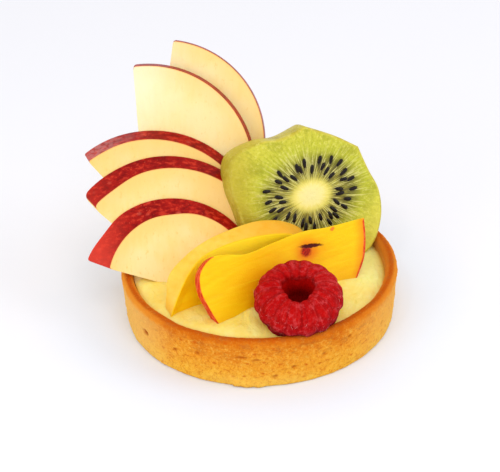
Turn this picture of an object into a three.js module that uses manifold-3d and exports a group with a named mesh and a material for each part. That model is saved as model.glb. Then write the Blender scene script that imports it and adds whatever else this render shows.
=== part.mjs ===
// Fruit tart: a round shortcrust shell filled with custard cream, topped with a fan of five
// half-round apple slices, a kiwi slice, two nectarine slices and a hollow raspberry.
// Millimetres, +Z up, origin at the middle of the shell's underside, front of the tart at -Y.

import * as THREE from 'three';
import { mergeVertices } from 'three/addons/utils/BufferGeometryUtils.js';
import Module from 'manifold-3d';

const wasm = await Module();
wasm.setup();

// ---------------------------------------------------------------- driving dimensions
const CLEARANCE = 0.3;              // gap kept between neighbouring solids

const SHELL_RADIUS = 40;            // widest radius, just under the rim
const SHELL_FOOT_RADIUS = 39.1;     // radius at the base
const SHELL_HEIGHT = 16;            // rim crest above the table
const SHELL_WALL = 3.4;             // wall thickness at the rim
const SHELL_FLOOR = 3;              // thickness of the baked floor
const SHELL_SIDES = 84;             // facets round the shell

const CREAM_LEVEL = 14.7;           // mean height of the custard
const CREAM_SLUMP = 2.3;            // how far it has sunk along the wall at the right and rear
const CREAM_SLUMP_DIRECTION = 25;   // degrees from +X
const CREAM_EDGE_DIP = 0.5;         // where it meets the wall
const CREAM_RINGS = 8;
const CREAM_SIDES = 38;

const APPLE_LEAN = 25;              // degrees that the fan leans back
const APPLE_THICKNESS = 3.5;
const APPLE_PITCH = 3.8;            // from one slice's face to the next
const APPLE_FIRST_FACE = 13.9;      // distance of the front slice's face from the origin
const APPLE_ARC_STEPS = 26;
const SLICE_FOOT = 6.6;             // lowest point of a slice that stands in the custard

const KIWI_THICKNESS = 8;
const KIWI_BEVEL = 0.6;
const KIWI_SEEDS_FRONT = 44;
const KIWI_SEEDS_BACK = 24;
const SEED_HALF_LENGTH = 1.2;       // shortest seed; the longest has 0.3 more
const SEED_HALF_WIDTH = 0.62;
const SEED_HALF_DEPTH = 0.36;
const SEED_SINK = 0.12;             // a seed's middle below the cut face
const SEED_ROWS = [[8.2, 2.2], [11.0, 2.6]]; // least distance from the core and its spread
const SEED_OVAL = [1.1, 0.8];       // the rings of seeds are wider than they are high
const SEED_UNEVEN = 0.9;            // how far a seed strays round its ring, as a share of its pitch
const SEED_ASKEW = 0.6;             // how far a seed turns off its ray, in radians

const NECTARINE_FRONT_THICKNESS = 3.2;
const NECTARINE_FRONT_UNDERCUT = 0.3; // how much smaller its back is than its face
const NECTARINE_BACK_THICKNESS = 4.5;

const RASPBERRY_HOLE = 4.7;         // radius of the mouth left by the plug

// Each apple slice: middle of its disc (x, z), radius of the cut face and of the wider back face,
// shift of the back disc, direction of the straight cut in degrees, height of the disc's middle
// above that cut, how far the hidden lower half is drawn out to reach the custard, and where the
// face and the back are flatter than a circle (direction in degrees, depth).
const APPLE_SLICES = [
  {
    x: -22.7, z: 14.5, face: 21.1, back: 25.9, shift: [-2.5, -1.2], cut: -17, rise: 1, drop: 1,
    faceFlat: [95, 0.45], backFlat: [141, 0.75],
  },
  {
    x: -25.0, z: 17.2, face: 28.8, back: 31.5, shift: [-1.4, 0.35], cut: -42.1, rise: 1.84, drop: 1,
    faceFlat: [125, 0.65], backFlat: [117, 0.15],
  },
  {
    x: -30.9, z: 21.4, face: 30.5, back: 31.8, shift: [0.15, 0.9], cut: -48.8, rise: -2.7, drop: 1,
    faceFlat: [120, 0.3], backFlat: [90, 0.1],
  },
  {
    x: -31.6, z: 38.7, face: 30.65, back: 31.2, shift: [0.2, -0.2], cut: -87.1, rise: 1.9, drop: 1,
    faceFlat: [90, 0], backFlat: [90, 0],
  },
  {
    x: -26.9, z: 44.6, face: 29.4, back: 29.95, shift: [-0.2, -0.4], cut: -100, rise: 1.55, drop: 1.2,
    faceFlat: [90, 0], backFlat: [90, 0],
  },
];
const APPLE_FLAT_SPREAD = 13;       // degrees over which a flatter place fades out

// A slice's pose: a point of its front face, the turn of the face about Z and its lean back.
const KIWI_POSE = { at: [15.6, 9.3, 32.7], turn: 25, lean: 22 };
const NECTARINE_FRONT_POSE = { at: [-11.3, -29.3, 15], turn: 32, lean: 31 };
const NECTARINE_BACK_POSE = { at: [-25.4, -24.6, 15], turn: 30, lean: 11 };
const RASPBERRY_POSE = { at: [10.55, -27.0, 21.2], tilt: 17 };

// Knife-peeled outline of the kiwi slice: angle in degrees and radius, and its sharp corners.
const KIWI_OUTLINE = [
  [-51, 25.8], [-30, 24.4], [-10, 22.3], [8, 20.0], [30, 20.5], [52, 18.7], [84, 20.1], [108, 19.2],
  [124, 22.6], [143, 27.0], [160, 25.5], [178, 23.1], [200, 22.9], [230, 23.0], [260, 22.3], [288, 24.0],
];
const KIWI_CORNERS = [4, 6];

// Nectarine outlines along the slice and up its face, from the lower left corner round the top.
const NECTARINE_FRONT_OUTLINE = [
  [-0.2, -1.5], [-2.0, 5.2], [-2.8, 10.5], [-1.4, 15.3], [3.2, 18.3],
  [8.0, 17.7], [14.0, 15.9], [24.0, 16.2], [33.5, 16.3], [41.0, 15.1], [54.1, 13.9],
  [52.7, 8.4], [50.4, 3.2], [45.5, -2.4], [24.0, -1.6],
];
const NECTARINE_FRONT_CORNERS = [0, 10, 13];
const NECTARINE_BACK_FACE = [
  [-0.6, -2.0], [3.3, 4.7], [7.6, 10.4], [12.2, 13.8], [18.5, 15.0], [25.5, 15.1], [34.8, 13.8],
  [42.5, 11.2], [47.0, 6.5], [49.0, -2.0], [24.0, -2.4],
];
const NECTARINE_BACK_OUTER = [
  [0.4, -2.0], [1.6, 3.8], [3.4, 9.9], [9.6, 14.1], [15.8, 16.3], [24.0, 17.3], [33.7, 17.1],
  [42.0, 14.3], [48.0, 9.2], [50.5, -2.0], [24.0, -2.4],
];
const NECTARINE_BACK_CORNERS = [0, 9];

// Places where the custard stands proud: at the front and along the foot of the apple and of the
// nectarine slices, each with its middle, height, spread and stretch along X.
const CREAM_SWELLS = [
  { at: [-4, -33], height: 0.5, spread: 14, stretch: 1 },
  { at: [-27, -10.5], height: 0.6, spread: 3, stretch: 2 },
  { at: [-1.5, -24.5], height: 0.9, spread: 3.5, stretch: 1.67 },
];

// Marks that the stone left in the front nectarine slice: place on the face, half sizes, turn.
const STONE_MARKS = [
  { at: [34.6, 11.5], size: [3.2, 0.5, 1.0], turn: -14 },
  { at: [33.3, 9.9], size: [1.2, 1.7, 0.7], turn: 12 },
];

// Pits in the side of the shell: angle in degrees from +X, height, half width, half height, depth.
const SHELL_PITS = [
  [214, 7.6, 1.3, 0.8, 1.0], [232, 8.0, 0.6, 0.5, 0.6], [243, 9.5, 0.6, 0.5, 0.6],
  [262, 10.6, 1.7, 0.4, 0.6], [268, 9.8, 1.2, 0.4, 0.5], [283, 6.2, 0.7, 0.5, 0.6],
  [275, 3.4, 0.9, 0.6, 0.5], [296, 8.4, 0.6, 0.5, 0.6], [308, 11.2, 0.6, 0.5, 0.6],
  [331, 7.0, 0.7, 0.5, 0.6], [20, 8.0, 0.9, 0.6, 0.7], [62, 5.5, 0.7, 0.6, 0.6],
  [97, 10.0, 1.1, 0.5, 0.7], [134, 6.0, 0.7, 0.6, 0.6], [171, 9.4, 0.8, 0.5, 0.6],
];

// ---------------------------------------------------------------- small helpers
const radians = THREE.MathUtils.degToRad;
const random = seededRandom(2026);

function seededRandom(seed) {
  let state = seed;
  return () => {
    state = (state * 1664525 + 1013904223) % 4294967296;
    return state / 4294967296;
  };
}

// Smooth wave between -1 and 1, used for the unevenness of dough and custard.
function wave(a, b, phase) {
  return (Math.sin(a + phase) + Math.sin(b * 1.7 - phase * 2.3) + Math.sin((a + b) * 0.9 + phase * 1.3)) / 3;
}

function bump(distance, width) {
  return Math.exp(-(distance * distance) / (width * width));
}

function toManifold(geometry) {
  const bare = geometry.index ? geometry.clone() : geometry.toNonIndexed();
  for (const name of Object.keys(bare.attributes)) {
    if (name !== 'position') bare.deleteAttribute(name);
  }
  const merged = mergeVertices(bare, 1e-4);
  return new wasm.Manifold(new wasm.Mesh({
    numProp: 3,
    vertProperties: new Float32Array(merged.attributes.position.array),
    triVerts: new Uint32Array(merged.index.array),
  }));
}

function toGeometry(solid) {
  const mesh = solid.getMesh();
  const geometry = new THREE.BufferGeometry();
  geometry.setAttribute('position', new THREE.BufferAttribute(new Float32Array(mesh.vertProperties), 3));
  geometry.setIndex(new THREE.BufferAttribute(new Uint32Array(mesh.triVerts), 1));
  geometry.computeVertexNormals();
  return geometry;
}

// The matrix of a slice that stands at a point, turned about Z and leaning back. In the slice's
// own frame X runs along the slice, Y up its face and Z out of the face towards the front.
function sliceMatrix({ at, turn, lean }) {
  const along = new THREE.Vector3(Math.cos(radians(turn)), Math.sin(radians(turn)), 0);
  const out = new THREE.Vector3(
    Math.sin(radians(turn)) * Math.cos(radians(lean)),
    -Math.cos(radians(turn)) * Math.cos(radians(lean)),
    Math.sin(radians(lean)),
  );
  const up = new THREE.Vector3().crossVectors(out, along);
  return new THREE.Matrix4().makeBasis(along, up, out).setPosition(...at);
}

// Moves an outline's points outwards by a distance, along the mean normal of their two edges.
function offsetOutline(points, distance) {
  return points.map((point, i) => {
    const before = points[(i + points.length - 1) % points.length];
    const after = points[(i + 1) % points.length];
    const inward = new THREE.Vector2().subVectors(point, before).normalize();
    const outward = new THREE.Vector2().subVectors(after, point).normalize();
    const normal = new THREE.Vector2(inward.y + outward.y, -(inward.x + outward.x)).normalize();
    const stretch = Math.max(0.5, normal.dot(new THREE.Vector2(outward.y, -outward.x)));
    return new THREE.Vector2().copy(point).addScaledVector(normal, distance / stretch);
  });
}

// Closed solid through a stack of anticlockwise outlines, each with its own height z, highest first.
function loft(layers) {
  const count = layers[0].outline.length;
  const positions = [];
  for (const { outline, z } of layers) {
    for (const point of outline) positions.push(point.x, point.y, z);
  }
  const index = [];
  for (const [a, b, c] of THREE.ShapeUtils.triangulateShape(layers[0].outline, [])) index.push(a, b, c);
  const last = (layers.length - 1) * count;
  for (const [a, b, c] of THREE.ShapeUtils.triangulateShape(layers.at(-1).outline, [])) {
    index.push(last + a, last + c, last + b);
  }
  for (let layer = 0; layer < layers.length - 1; layer += 1) {
    const upper = layer * count;
    const lower = upper + count;
    for (let i = 0; i < count; i += 1) {
      const j = (i + 1) % count;
      index.push(upper + i, lower + i, lower + j, upper + i, lower + j, upper + j);
    }
  }
  const geometry = new THREE.BufferGeometry();
  geometry.setAttribute('position', new THREE.Float32BufferAttribute(positions, 3));
  geometry.setIndex(index);
  return geometry;
}

// A smooth closed outline through points, with sharp corners where the corner list says.
function smoothOutline(points, corners, stepsPerSpan) {
  const vectors = points.map(([x, y]) => new THREE.Vector3(x, y, 0));
  const outline = [];
  const starts = corners.length > 0 ? corners : [0];
  starts.forEach((start, k) => {
    const end = k + 1 < starts.length ? starts[k + 1] : starts[0] + vectors.length;
    const run = [];
    for (let i = start; i <= end; i += 1) run.push(vectors[i % vectors.length]);
    const closed = corners.length === 0;
    const curve = new THREE.CatmullRomCurve3(closed ? run.slice(0, -1) : run, closed, 'centripetal');
    const steps = (end - start) * stepsPerSpan;
    for (let i = 0; i < steps; i += 1) {
      const point = curve.getPoint(i / steps);
      outline.push(new THREE.Vector2(point.x, point.y));
    }
  });
  return THREE.ShapeUtils.isClockWise(outline) ? outline.reverse() : outline;
}

// A small ball drawn out to half sizes, for seeds, drupelets and pits.
function pebble(halfSizes, around, rings) {
  return new THREE.SphereGeometry(1, around, rings).scale(...halfSizes);
}

function addPiece(group, name, solid, matrix, material) {
  const geometry = toGeometry(solid).applyMatrix4(matrix.clone().invert());
  const mesh = new THREE.Mesh(geometry, material);
  mesh.name = name;
  mesh.applyMatrix4(matrix);
  group.add(mesh);
  return mesh;
}

// ---------------------------------------------------------------- materials
const crustMaterial = new THREE.MeshStandardMaterial({ color: 0xd98a35, roughness: 0.85, metalness: 0 });
const creamMaterial = new THREE.MeshStandardMaterial({ color: 0xf4df8c, roughness: 0.45, metalness: 0 });
const appleMaterial = new THREE.MeshStandardMaterial({ color: 0xf6dd93, roughness: 0.5, metalness: 0 });
const kiwiMaterial = new THREE.MeshStandardMaterial({ color: 0xb9c63d, roughness: 0.35, metalness: 0 });
const nectarineMaterial = new THREE.MeshStandardMaterial({ color: 0xfcbf22, roughness: 0.35, metalness: 0 });
const raspberryMaterial = new THREE.MeshStandardMaterial({ color: 0xb3162c, roughness: 0.4, metalness: 0 });

// ---------------------------------------------------------------- pastry shell
// Profile of the shell from the middle of its underside round the rim to the middle of its floor.
const SHELL_INNER_RADIUS = SHELL_RADIUS - SHELL_WALL;
const SHELL_PROFILE = [
  [0, 0], [SHELL_FOOT_RADIUS - 0.9, 0], [SHELL_FOOT_RADIUS - 0.2, 0.35], [SHELL_FOOT_RADIUS, 1.1],
  [SHELL_FOOT_RADIUS + 0.15, 3.6], [SHELL_FOOT_RADIUS + 0.35, 6.4], [SHELL_FOOT_RADIUS + 0.6, 9.4],
  [SHELL_FOOT_RADIUS + 0.8, 12.2], [SHELL_RADIUS, SHELL_HEIGHT - 1.4],
  [SHELL_RADIUS - 0.5, SHELL_HEIGHT - 0.45], [SHELL_RADIUS - 1.3, SHELL_HEIGHT],
  [SHELL_RADIUS - 2.3, SHELL_HEIGHT - 0.1],
  [SHELL_INNER_RADIUS + 0.3, SHELL_HEIGHT - 0.9], [SHELL_INNER_RADIUS, SHELL_HEIGHT - 2.4],
  [SHELL_INNER_RADIUS - 0.4, SHELL_FLOOR + 1.2], [SHELL_INNER_RADIUS - 1.3, SHELL_FLOOR], [0, SHELL_FLOOR],
];
const RIM_START = SHELL_HEIGHT - 2;

// Uneven baked dough: the wall swells and dips, the rim rises and falls, and a thin lip of dough
// squeezed out under the ring stands at the front of the foot.
function unevenShell(x, y, z) {
  const angle = Math.atan2(y, x);
  const radius = Math.hypot(x, y);
  if (radius < SHELL_INNER_RADIUS - 0.1) return [x, y, z];
  const outer = radius > SHELL_FOOT_RADIUS - 1.2 && z > 0 && z < SHELL_HEIGHT - 0.2;
  let swell = 0;
  if (outer) swell = 0.16 * wave(angle * 7, z * 0.9, 1.1) + 0.1 * wave(angle * 19, z * 1.9, 2.7);
  const lip = bump(THREE.MathUtils.euclideanModulo(angle, 2 * Math.PI) - radians(267), radians(9));
  if (z > 0 && z < 1.2) swell += 0.4 * lip - 0.1;
  const rise = z > RIM_START ? 0.17 * wave(angle * 4, angle * 9, 0.4) - 0.12 : 0;
  const scale = (radius + swell) / radius;
  return [x * scale, y * scale, z + rise];
}

function makeShell() {
  const profile = SHELL_PROFILE.map(([radius, z]) => new THREE.Vector2(radius, z));
  const geometry = new THREE.LatheGeometry(profile, SHELL_SIDES).rotateX(Math.PI / 2);
  const position = geometry.attributes.position;
  for (let i = 0; i < position.count; i += 1) {
    position.setXYZ(i, ...unevenShell(position.getX(i), position.getY(i), position.getZ(i)));
  }
  let shell = toManifold(geometry);
  for (const [angle, z, halfWidth, halfHeight, depth] of SHELL_PITS) {
    const wallRadius = THREE.MathUtils.lerp(SHELL_FOOT_RADIUS, SHELL_RADIUS, z / SHELL_HEIGHT);
    const pit = pebble([depth, halfWidth, halfHeight], 7, 5);
    pit.rotateZ(radians(angle)).translate(
      wallRadius * Math.cos(radians(angle)), wallRadius * Math.sin(radians(angle)), z,
    );
    shell = shell.subtract(toManifold(pit));
  }
  return shell;
}

// The space that fruit standing beside the wall keeps free: the wall and its clearance.
function shellWallSpace() {
  const inner = SHELL_INNER_RADIUS - CLEARANCE;
  const top = SHELL_HEIGHT + CLEARANCE;
  const outer = SHELL_RADIUS + 5;
  const section = [[inner, 0], [outer, 0], [outer, top], [inner + 1, top], [inner, top - 1]];
  const points = [...section, section[0]].map(([radius, z]) => new THREE.Vector2(radius, z));
  return toManifold(new THREE.LatheGeometry(points, SHELL_SIDES).rotateX(Math.PI / 2));
}

// ---------------------------------------------------------------- apple slices
// Outline of a half-disc: the skin's arc from the right end of the straight cut round to its left.
function halfDisc(centre, radius, cutDegrees, rise, drop, [flatDegrees, flatDepth]) {
  const start = radians(cutDegrees) - Math.asin(rise / radius);
  const end = radians(cutDegrees) + Math.PI + Math.asin(rise / radius);
  const outline = [];
  for (let i = 0; i <= APPLE_ARC_STEPS; i += 1) {
    const angle = THREE.MathUtils.lerp(start, end, i / APPLE_ARC_STEPS);
    const reach = radius - flatDepth * bump(angle - radians(flatDegrees), radians(APPLE_FLAT_SPREAD));
    const y = Math.sin(angle) * reach;
    outline.push(new THREE.Vector2(centre[0] + Math.cos(angle) * reach, centre[1] + (y < 0 ? y * drop : y)));
  }
  return outline;
}

function applePose(slice, number) {
  const face = APPLE_FIRST_FACE - number * APPLE_PITCH;
  const lean = radians(APPLE_LEAN);
  const y = (Math.sin(lean) * slice.z - face) / Math.cos(lean);
  return { at: [slice.x, y, slice.z], turn: 0, lean: APPLE_LEAN };
}

function appleSolid(slice, number, grow) {
  const [shiftX, shiftY] = slice.shift;
  const cut = radians(slice.cut);
  const backRise = slice.rise + shiftY * Math.cos(cut) - shiftX * Math.sin(cut);
  const face = halfDisc([0, 0], slice.face, slice.cut, slice.rise, slice.drop, slice.faceFlat);
  const back = halfDisc(slice.shift, slice.back, slice.cut, backRise, slice.drop, slice.backFlat);
  const geometry = loft([
    { outline: offsetOutline(face, grow), z: grow },
    { outline: offsetOutline(back, grow), z: -APPLE_THICKNESS - grow },
  ]);
  geometry.applyMatrix4(sliceMatrix(applePose(slice, number)));
  return toManifold(geometry).subtract(belowFoot(grow));
}

// Everything below the level where the slices' feet end.
function belowFoot(grow) {
  const size = 4 * SHELL_RADIUS;
  return toManifold(new THREE.BoxGeometry(size, size, size).translate(0, 0, SLICE_FOOT - grow - size / 2));
}

// ---------------------------------------------------------------- kiwi slice
function kiwiOutline() {
  const points = KIWI_OUTLINE.map(([angle, radius]) => [
    radius * Math.cos(radians(angle)), radius * Math.sin(radians(angle)),
  ]);
  return smoothOutline(points, KIWI_CORNERS, 3);
}

function kiwiBody(grow) {
  const outline = offsetOutline(kiwiOutline(), grow);
  const inset = offsetOutline(kiwiOutline(), grow - KIWI_BEVEL);
  const geometry = loft([
    { outline: inset, z: grow },
    { outline, z: -KIWI_BEVEL },
    { outline, z: KIWI_BEVEL - KIWI_THICKNESS },
    { outline: inset, z: -KIWI_THICKNESS - grow },
  ]);
  return toManifold(geometry.applyMatrix4(sliceMatrix(KIWI_POSE)));
}

// Seeds lie nearly radially in an oval ring round the pale core, in two uneven rows.
function kiwiSeeds(count, z) {
  const seeds = [];
  for (let i = 0; i < count; i += 1) {
    const angle = 2 * Math.PI * (i + SEED_UNEVEN * (random() - 0.5)) / count;
    const [least, spread] = SEED_ROWS[i % 2];
    const reach = least + spread * random();
    const askew = SEED_ASKEW * (random() - 0.5);
    const seed = pebble([SEED_HALF_LENGTH + 0.3 * random(), SEED_HALF_WIDTH, SEED_HALF_DEPTH], 6, 3);
    const x = SEED_OVAL[0] * reach * Math.cos(angle);
    const y = SEED_OVAL[1] * reach * Math.sin(angle);
    seeds.push(seed.rotateZ(angle + askew).translate(x, y, z));
  }
  return seeds;
}

function makeKiwi() {
  const front = kiwiSeeds(KIWI_SEEDS_FRONT, -SEED_SINK);
  const seeds = [...front, ...kiwiSeeds(KIWI_SEEDS_BACK, SEED_SINK - KIWI_THICKNESS)];
  const parts = seeds.map((seed) => toManifold(seed.applyMatrix4(sliceMatrix(KIWI_POSE))));
  return wasm.Manifold.union([kiwiBody(0), ...parts]).subtract(shellWallSpace());
}

// ---------------------------------------------------------------- nectarine slices
function nectarineFront(grow) {
  const outline = smoothOutline(NECTARINE_FRONT_OUTLINE, NECTARINE_FRONT_CORNERS, 3);
  const geometry = loft([
    { outline: offsetOutline(outline, grow), z: grow },
    {
      outline: offsetOutline(outline, grow - NECTARINE_FRONT_UNDERCUT),
      z: -NECTARINE_FRONT_THICKNESS - grow,
    },
  ]);
  return toManifold(geometry.applyMatrix4(sliceMatrix(NECTARINE_FRONT_POSE)));
}

function nectarineBack(grow) {
  const face = smoothOutline(NECTARINE_BACK_FACE, NECTARINE_BACK_CORNERS, 3);
  const outer = smoothOutline(NECTARINE_BACK_OUTER, NECTARINE_BACK_CORNERS, 3);
  const geometry = loft([
    { outline: offsetOutline(face, grow), z: grow },
    { outline: offsetOutline(outer, grow), z: -NECTARINE_BACK_THICKNESS - grow },
  ]);
  return toManifold(geometry.applyMatrix4(sliceMatrix(NECTARINE_BACK_POSE)));
}

function stoneMark({ at, size, turn }) {
  const mark = pebble(size, 12, 6).rotateZ(radians(turn)).translate(at[0], at[1], 0);
  return toManifold(mark.applyMatrix4(sliceMatrix(NECTARINE_FRONT_POSE)));
}

// ---------------------------------------------------------------- raspberry
// Rows of drupelets from the crown that rings the mouth down to the point: how many, distance
// from the axis, height, half sizes (outwards, round the berry, up the berry), droop and facets.
const DRUPELET_ROWS = [
  { count: 15, radius: 8.1, z: 3.6, size: [3.9, 2.3, 2.1], droop: 22, around: 7, rings: 5 },
  { count: 16, radius: 10.4, z: 0.2, size: [2.4, 2.5, 2.7], droop: 0, around: 6, rings: 4 },
  { count: 14, radius: 9.5, z: -3.2, size: [2.3, 2.6, 2.3], droop: 0, around: 7, rings: 4 },
  { count: 10, radius: 6.9, z: -6.0, size: [2.3, 2.5, 2.0], droop: 0, around: 6, rings: 3 },
];
const BERRY_CORE = [
  [0, -8.6], [3.8, -8.5], [7.6, -7.0], [10.4, -4.0], [11.9, 0], [11.2, 2.9], [8.6, 5.1], [6.2, 5.2],
  [RASPBERRY_HOLE, 4.4], [RASPBERRY_HOLE - 0.5, 1.5], [3.4, -2.4], [1.6, -4.4], [0, -4.8],
];
const BERRY_HULL = [[0, -8.8], [7.2, -8.8], [9.8, -7.0], [12.2, -4.6], [13.3, 0.2], [12.6, 3.4], [0, 3.4]];

function raspberryMatrix() {
  const tilt = new THREE.Matrix4().makeRotationX(radians(RASPBERRY_POSE.tilt));
  return tilt.setPosition(...RASPBERRY_POSE.at);
}

function makeRaspberry() {
  const core = new THREE.LatheGeometry(BERRY_CORE.map(([r, z]) => new THREE.Vector2(r, z)), 20);
  const parts = [toManifold(core.rotateX(Math.PI / 2).applyMatrix4(raspberryMatrix()))];
  DRUPELET_ROWS.forEach((row, level) => {
    for (let i = 0; i < row.count; i += 1) {
      const angle = 2 * Math.PI * (i + 0.5 * (level % 2) + 0.25 * (random() - 0.5)) / row.count;
      const swell = 0.94 + 0.12 * random();
      const drupelet = pebble(row.size.map((half) => half * swell), row.around, row.rings);
      drupelet.rotateY(radians(row.droop));
      drupelet.translate(row.radius, 0, row.z + 0.5 * (random() - 0.5)).rotateZ(angle);
      parts.push(toManifold(drupelet.applyMatrix4(raspberryMatrix())));
    }
  });
  return wasm.Manifold.union(parts).subtract(shellWallSpace());
}

// Smooth hull of the berry, a little larger than its drupelets, that keeps the custard clear of it.
function raspberryEnvelope(grow) {
  const points = BERRY_HULL.map(([r, z], i) => new THREE.Vector2(
    r > 0 ? r + grow : 0, i < 2 ? z - grow : z,
  ));
  return toManifold(new THREE.LatheGeometry(points, 26).rotateX(Math.PI / 2).applyMatrix4(raspberryMatrix()));
}

// ---------------------------------------------------------------- custard cream
// Height of the custard: softly lumpy, with its swells and its slump.
function creamHeight(x, y) {
  const angle = Math.atan2(y, x);
  const radius = Math.hypot(x, y) / SHELL_INNER_RADIUS;
  const lumps = 0.35 * wave(x * 0.16, y * 0.19, 0.8) + 0.2 * wave(x * 0.41, y * 0.36, 2.1);
  const facing = Math.max(0, Math.cos(angle - radians(CREAM_SLUMP_DIRECTION)));
  let height = CREAM_LEVEL + lumps - CREAM_SLUMP * facing * bump(1 - radius, 0.28);
  for (const swell of CREAM_SWELLS) {
    const away = Math.hypot((x - swell.at[0]) / swell.stretch, y - swell.at[1]);
    height += swell.height * bump(away, swell.spread);
  }
  return height;
}

function creamBlank() {
  const wall = SHELL_INNER_RADIUS - CLEARANCE;
  const foot = [[wall - 1.5, SHELL_FLOOR + CLEARANCE], [wall - 0.6, SHELL_FLOOR + 1.6]];
  const positions = [];
  const ringPoint = (radius, side, z) => {
    const angle = 2 * Math.PI * side / CREAM_SIDES;
    const x = radius * Math.cos(angle);
    const y = radius * Math.sin(angle);
    positions.push(x, y, z ?? creamHeight(x, y) - CREAM_EDGE_DIP * bump(wall - radius, 1.5));
  };
  positions.push(0, 0, SHELL_FLOOR + CLEARANCE);
  for (const [radius, z] of foot) {
    for (let side = 0; side < CREAM_SIDES; side += 1) ringPoint(radius, side, z);
  }
  for (let ring = CREAM_RINGS; ring > 0; ring -= 1) {
    for (let side = 0; side < CREAM_SIDES; side += 1) ringPoint(wall * (ring / CREAM_RINGS) ** 0.8, side);
  }
  positions.push(0, 0, creamHeight(0, 0));

  const index = [];
  const rows = foot.length + CREAM_RINGS;
  const top = positions.length / 3 - 1;
  for (let side = 0; side < CREAM_SIDES; side += 1) {
    const next = (side + 1) % CREAM_SIDES;
    index.push(0, 1 + next, 1 + side);
    for (let row = 0; row < rows - 1; row += 1) {
      const low = 1 + row * CREAM_SIDES;
      const high = low + CREAM_SIDES;
      index.push(low + side, low + next, high + next, low + side, high + next, high + side);
    }
    index.push(top, top - CREAM_SIDES + side, top - CREAM_SIDES + next);
  }
  const geometry = new THREE.BufferGeometry();
  geometry.setAttribute('position', new THREE.Float32BufferAttribute(positions, 3));
  geometry.setIndex(index);
  return toManifold(geometry);
}

// ---------------------------------------------------------------- the tart
const tart = new THREE.Group();
const upright = new THREE.Matrix4();

addPiece(tart, 'crust', makeShell(), upright, crustMaterial);

let cream = creamBlank();
const apples = APPLE_SLICES.map((slice, number) => appleSolid(slice, number, 0));
APPLE_SLICES.forEach((slice, number) => {
  cream = cream.subtract(appleSolid(slice, number, CLEARANCE));
});
cream = cream.subtract(kiwiBody(CLEARANCE));
cream = cream.subtract(nectarineFront(CLEARANCE));
cream = cream.subtract(nectarineBack(CLEARANCE));
cream = cream.subtract(raspberryEnvelope(CLEARANCE));
addPiece(tart, 'cream', cream, upright, creamMaterial);

const fan = new THREE.Group();
tart.add(fan);
apples.forEach((solid, number) => {
  const matrix = sliceMatrix(applePose(APPLE_SLICES[number], number));
  const trimmed = solid.subtract(kiwiBody(CLEARANCE)).subtract(nectarineBack(CLEARANCE));
  addPiece(fan, `apple_slice_${number + 1}`, trimmed, matrix, appleMaterial);
});

const kiwiClearance = kiwiBody(2 * CLEARANCE);
addPiece(tart, 'kiwi_slice', makeKiwi(), sliceMatrix(KIWI_POSE), kiwiMaterial);

const backSlice = nectarineBack(0).subtract(kiwiClearance);
addPiece(tart, 'nectarine_slice_back', backSlice, sliceMatrix(NECTARINE_BACK_POSE), nectarineMaterial);

let frontSlice = nectarineFront(0).subtract(nectarineBack(CLEARANCE));
for (const mark of STONE_MARKS) frontSlice = frontSlice.subtract(stoneMark(mark));
addPiece(tart, 'nectarine_slice_front', frontSlice, sliceMatrix(NECTARINE_FRONT_POSE), nectarineMaterial);

addPiece(tart, 'raspberry', makeRaspberry(), raspberryMatrix(), raspberryMaterial);

export default tart;
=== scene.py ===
"""Fruit tart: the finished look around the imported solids. Lengths are metres unless a name says mm."""
import math

import bmesh
import bpy
import numpy as np
from mathutils import Matrix, Vector, noise


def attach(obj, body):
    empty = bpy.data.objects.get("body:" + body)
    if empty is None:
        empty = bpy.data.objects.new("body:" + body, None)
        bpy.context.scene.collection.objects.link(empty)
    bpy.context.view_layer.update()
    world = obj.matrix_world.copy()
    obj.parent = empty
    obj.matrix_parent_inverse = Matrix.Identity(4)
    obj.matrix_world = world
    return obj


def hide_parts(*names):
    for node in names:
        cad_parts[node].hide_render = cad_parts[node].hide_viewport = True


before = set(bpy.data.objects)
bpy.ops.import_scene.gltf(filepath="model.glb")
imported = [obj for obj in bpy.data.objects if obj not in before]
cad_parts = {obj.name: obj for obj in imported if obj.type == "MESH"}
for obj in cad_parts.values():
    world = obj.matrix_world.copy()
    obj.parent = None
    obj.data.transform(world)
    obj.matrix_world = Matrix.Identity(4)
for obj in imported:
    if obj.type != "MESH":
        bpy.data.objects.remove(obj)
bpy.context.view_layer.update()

MM = 0.001
FULL_TURN = 2 * math.pi

# ---------------------------------------------------------------- sizes shared with the solids, mm
SHELL_RADIUS = 40.0
SHELL_FOOT_RADIUS = 39.1
SHELL_HEIGHT = 16.0
SHELL_WALL = 3.4
SHELL_FLOOR = 3.0
SHELL_INNER_RADIUS = SHELL_RADIUS - SHELL_WALL
CREAM_LEVEL = 14.7

APPLE_LEAN = 25.0
APPLE_THICKNESS = 3.5
APPLE_PITCH = 3.8
APPLE_FIRST_FACE = 13.9
SLICE_FOOT = 6.6
# cut: degrees of the cut edge; rise and drop: how far the slice goes on past its middle, and its
# stretch there; face and back: radii; flats: (degrees, depth)
APPLE_SLICES = [
    dict(x=-22.7, z=14.5, face=21.1, back=25.9, shift=(-2.5, -1.2), cut=-17.0, rise=1.0, drop=1.0,
         face_flat=(95, 0.45), back_flat=(141, 0.75)),
    dict(x=-25.0, z=17.2, face=28.8, back=31.5, shift=(-1.4, 0.35), cut=-42.1, rise=1.84, drop=1.0,
         face_flat=(125, 0.65), back_flat=(117, 0.15)),
    dict(x=-30.9, z=21.4, face=30.5, back=31.8, shift=(0.15, 0.9), cut=-48.8, rise=-2.7, drop=1.0,
         face_flat=(120, 0.3), back_flat=(90, 0.1)),
    dict(x=-31.6, z=38.7, face=30.65, back=31.2, shift=(0.2, -0.2), cut=-87.1, rise=1.9, drop=1.0,
         face_flat=(90, 0.0), back_flat=(90, 0.0)),
    dict(x=-26.9, z=44.6, face=29.4, back=29.95, shift=(-0.2, -0.4), cut=-100.0, rise=1.55, drop=1.2,
         face_flat=(90, 0.0), back_flat=(90, 0.0)),
]
APPLE_FLAT_SPREAD = 13.0

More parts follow.
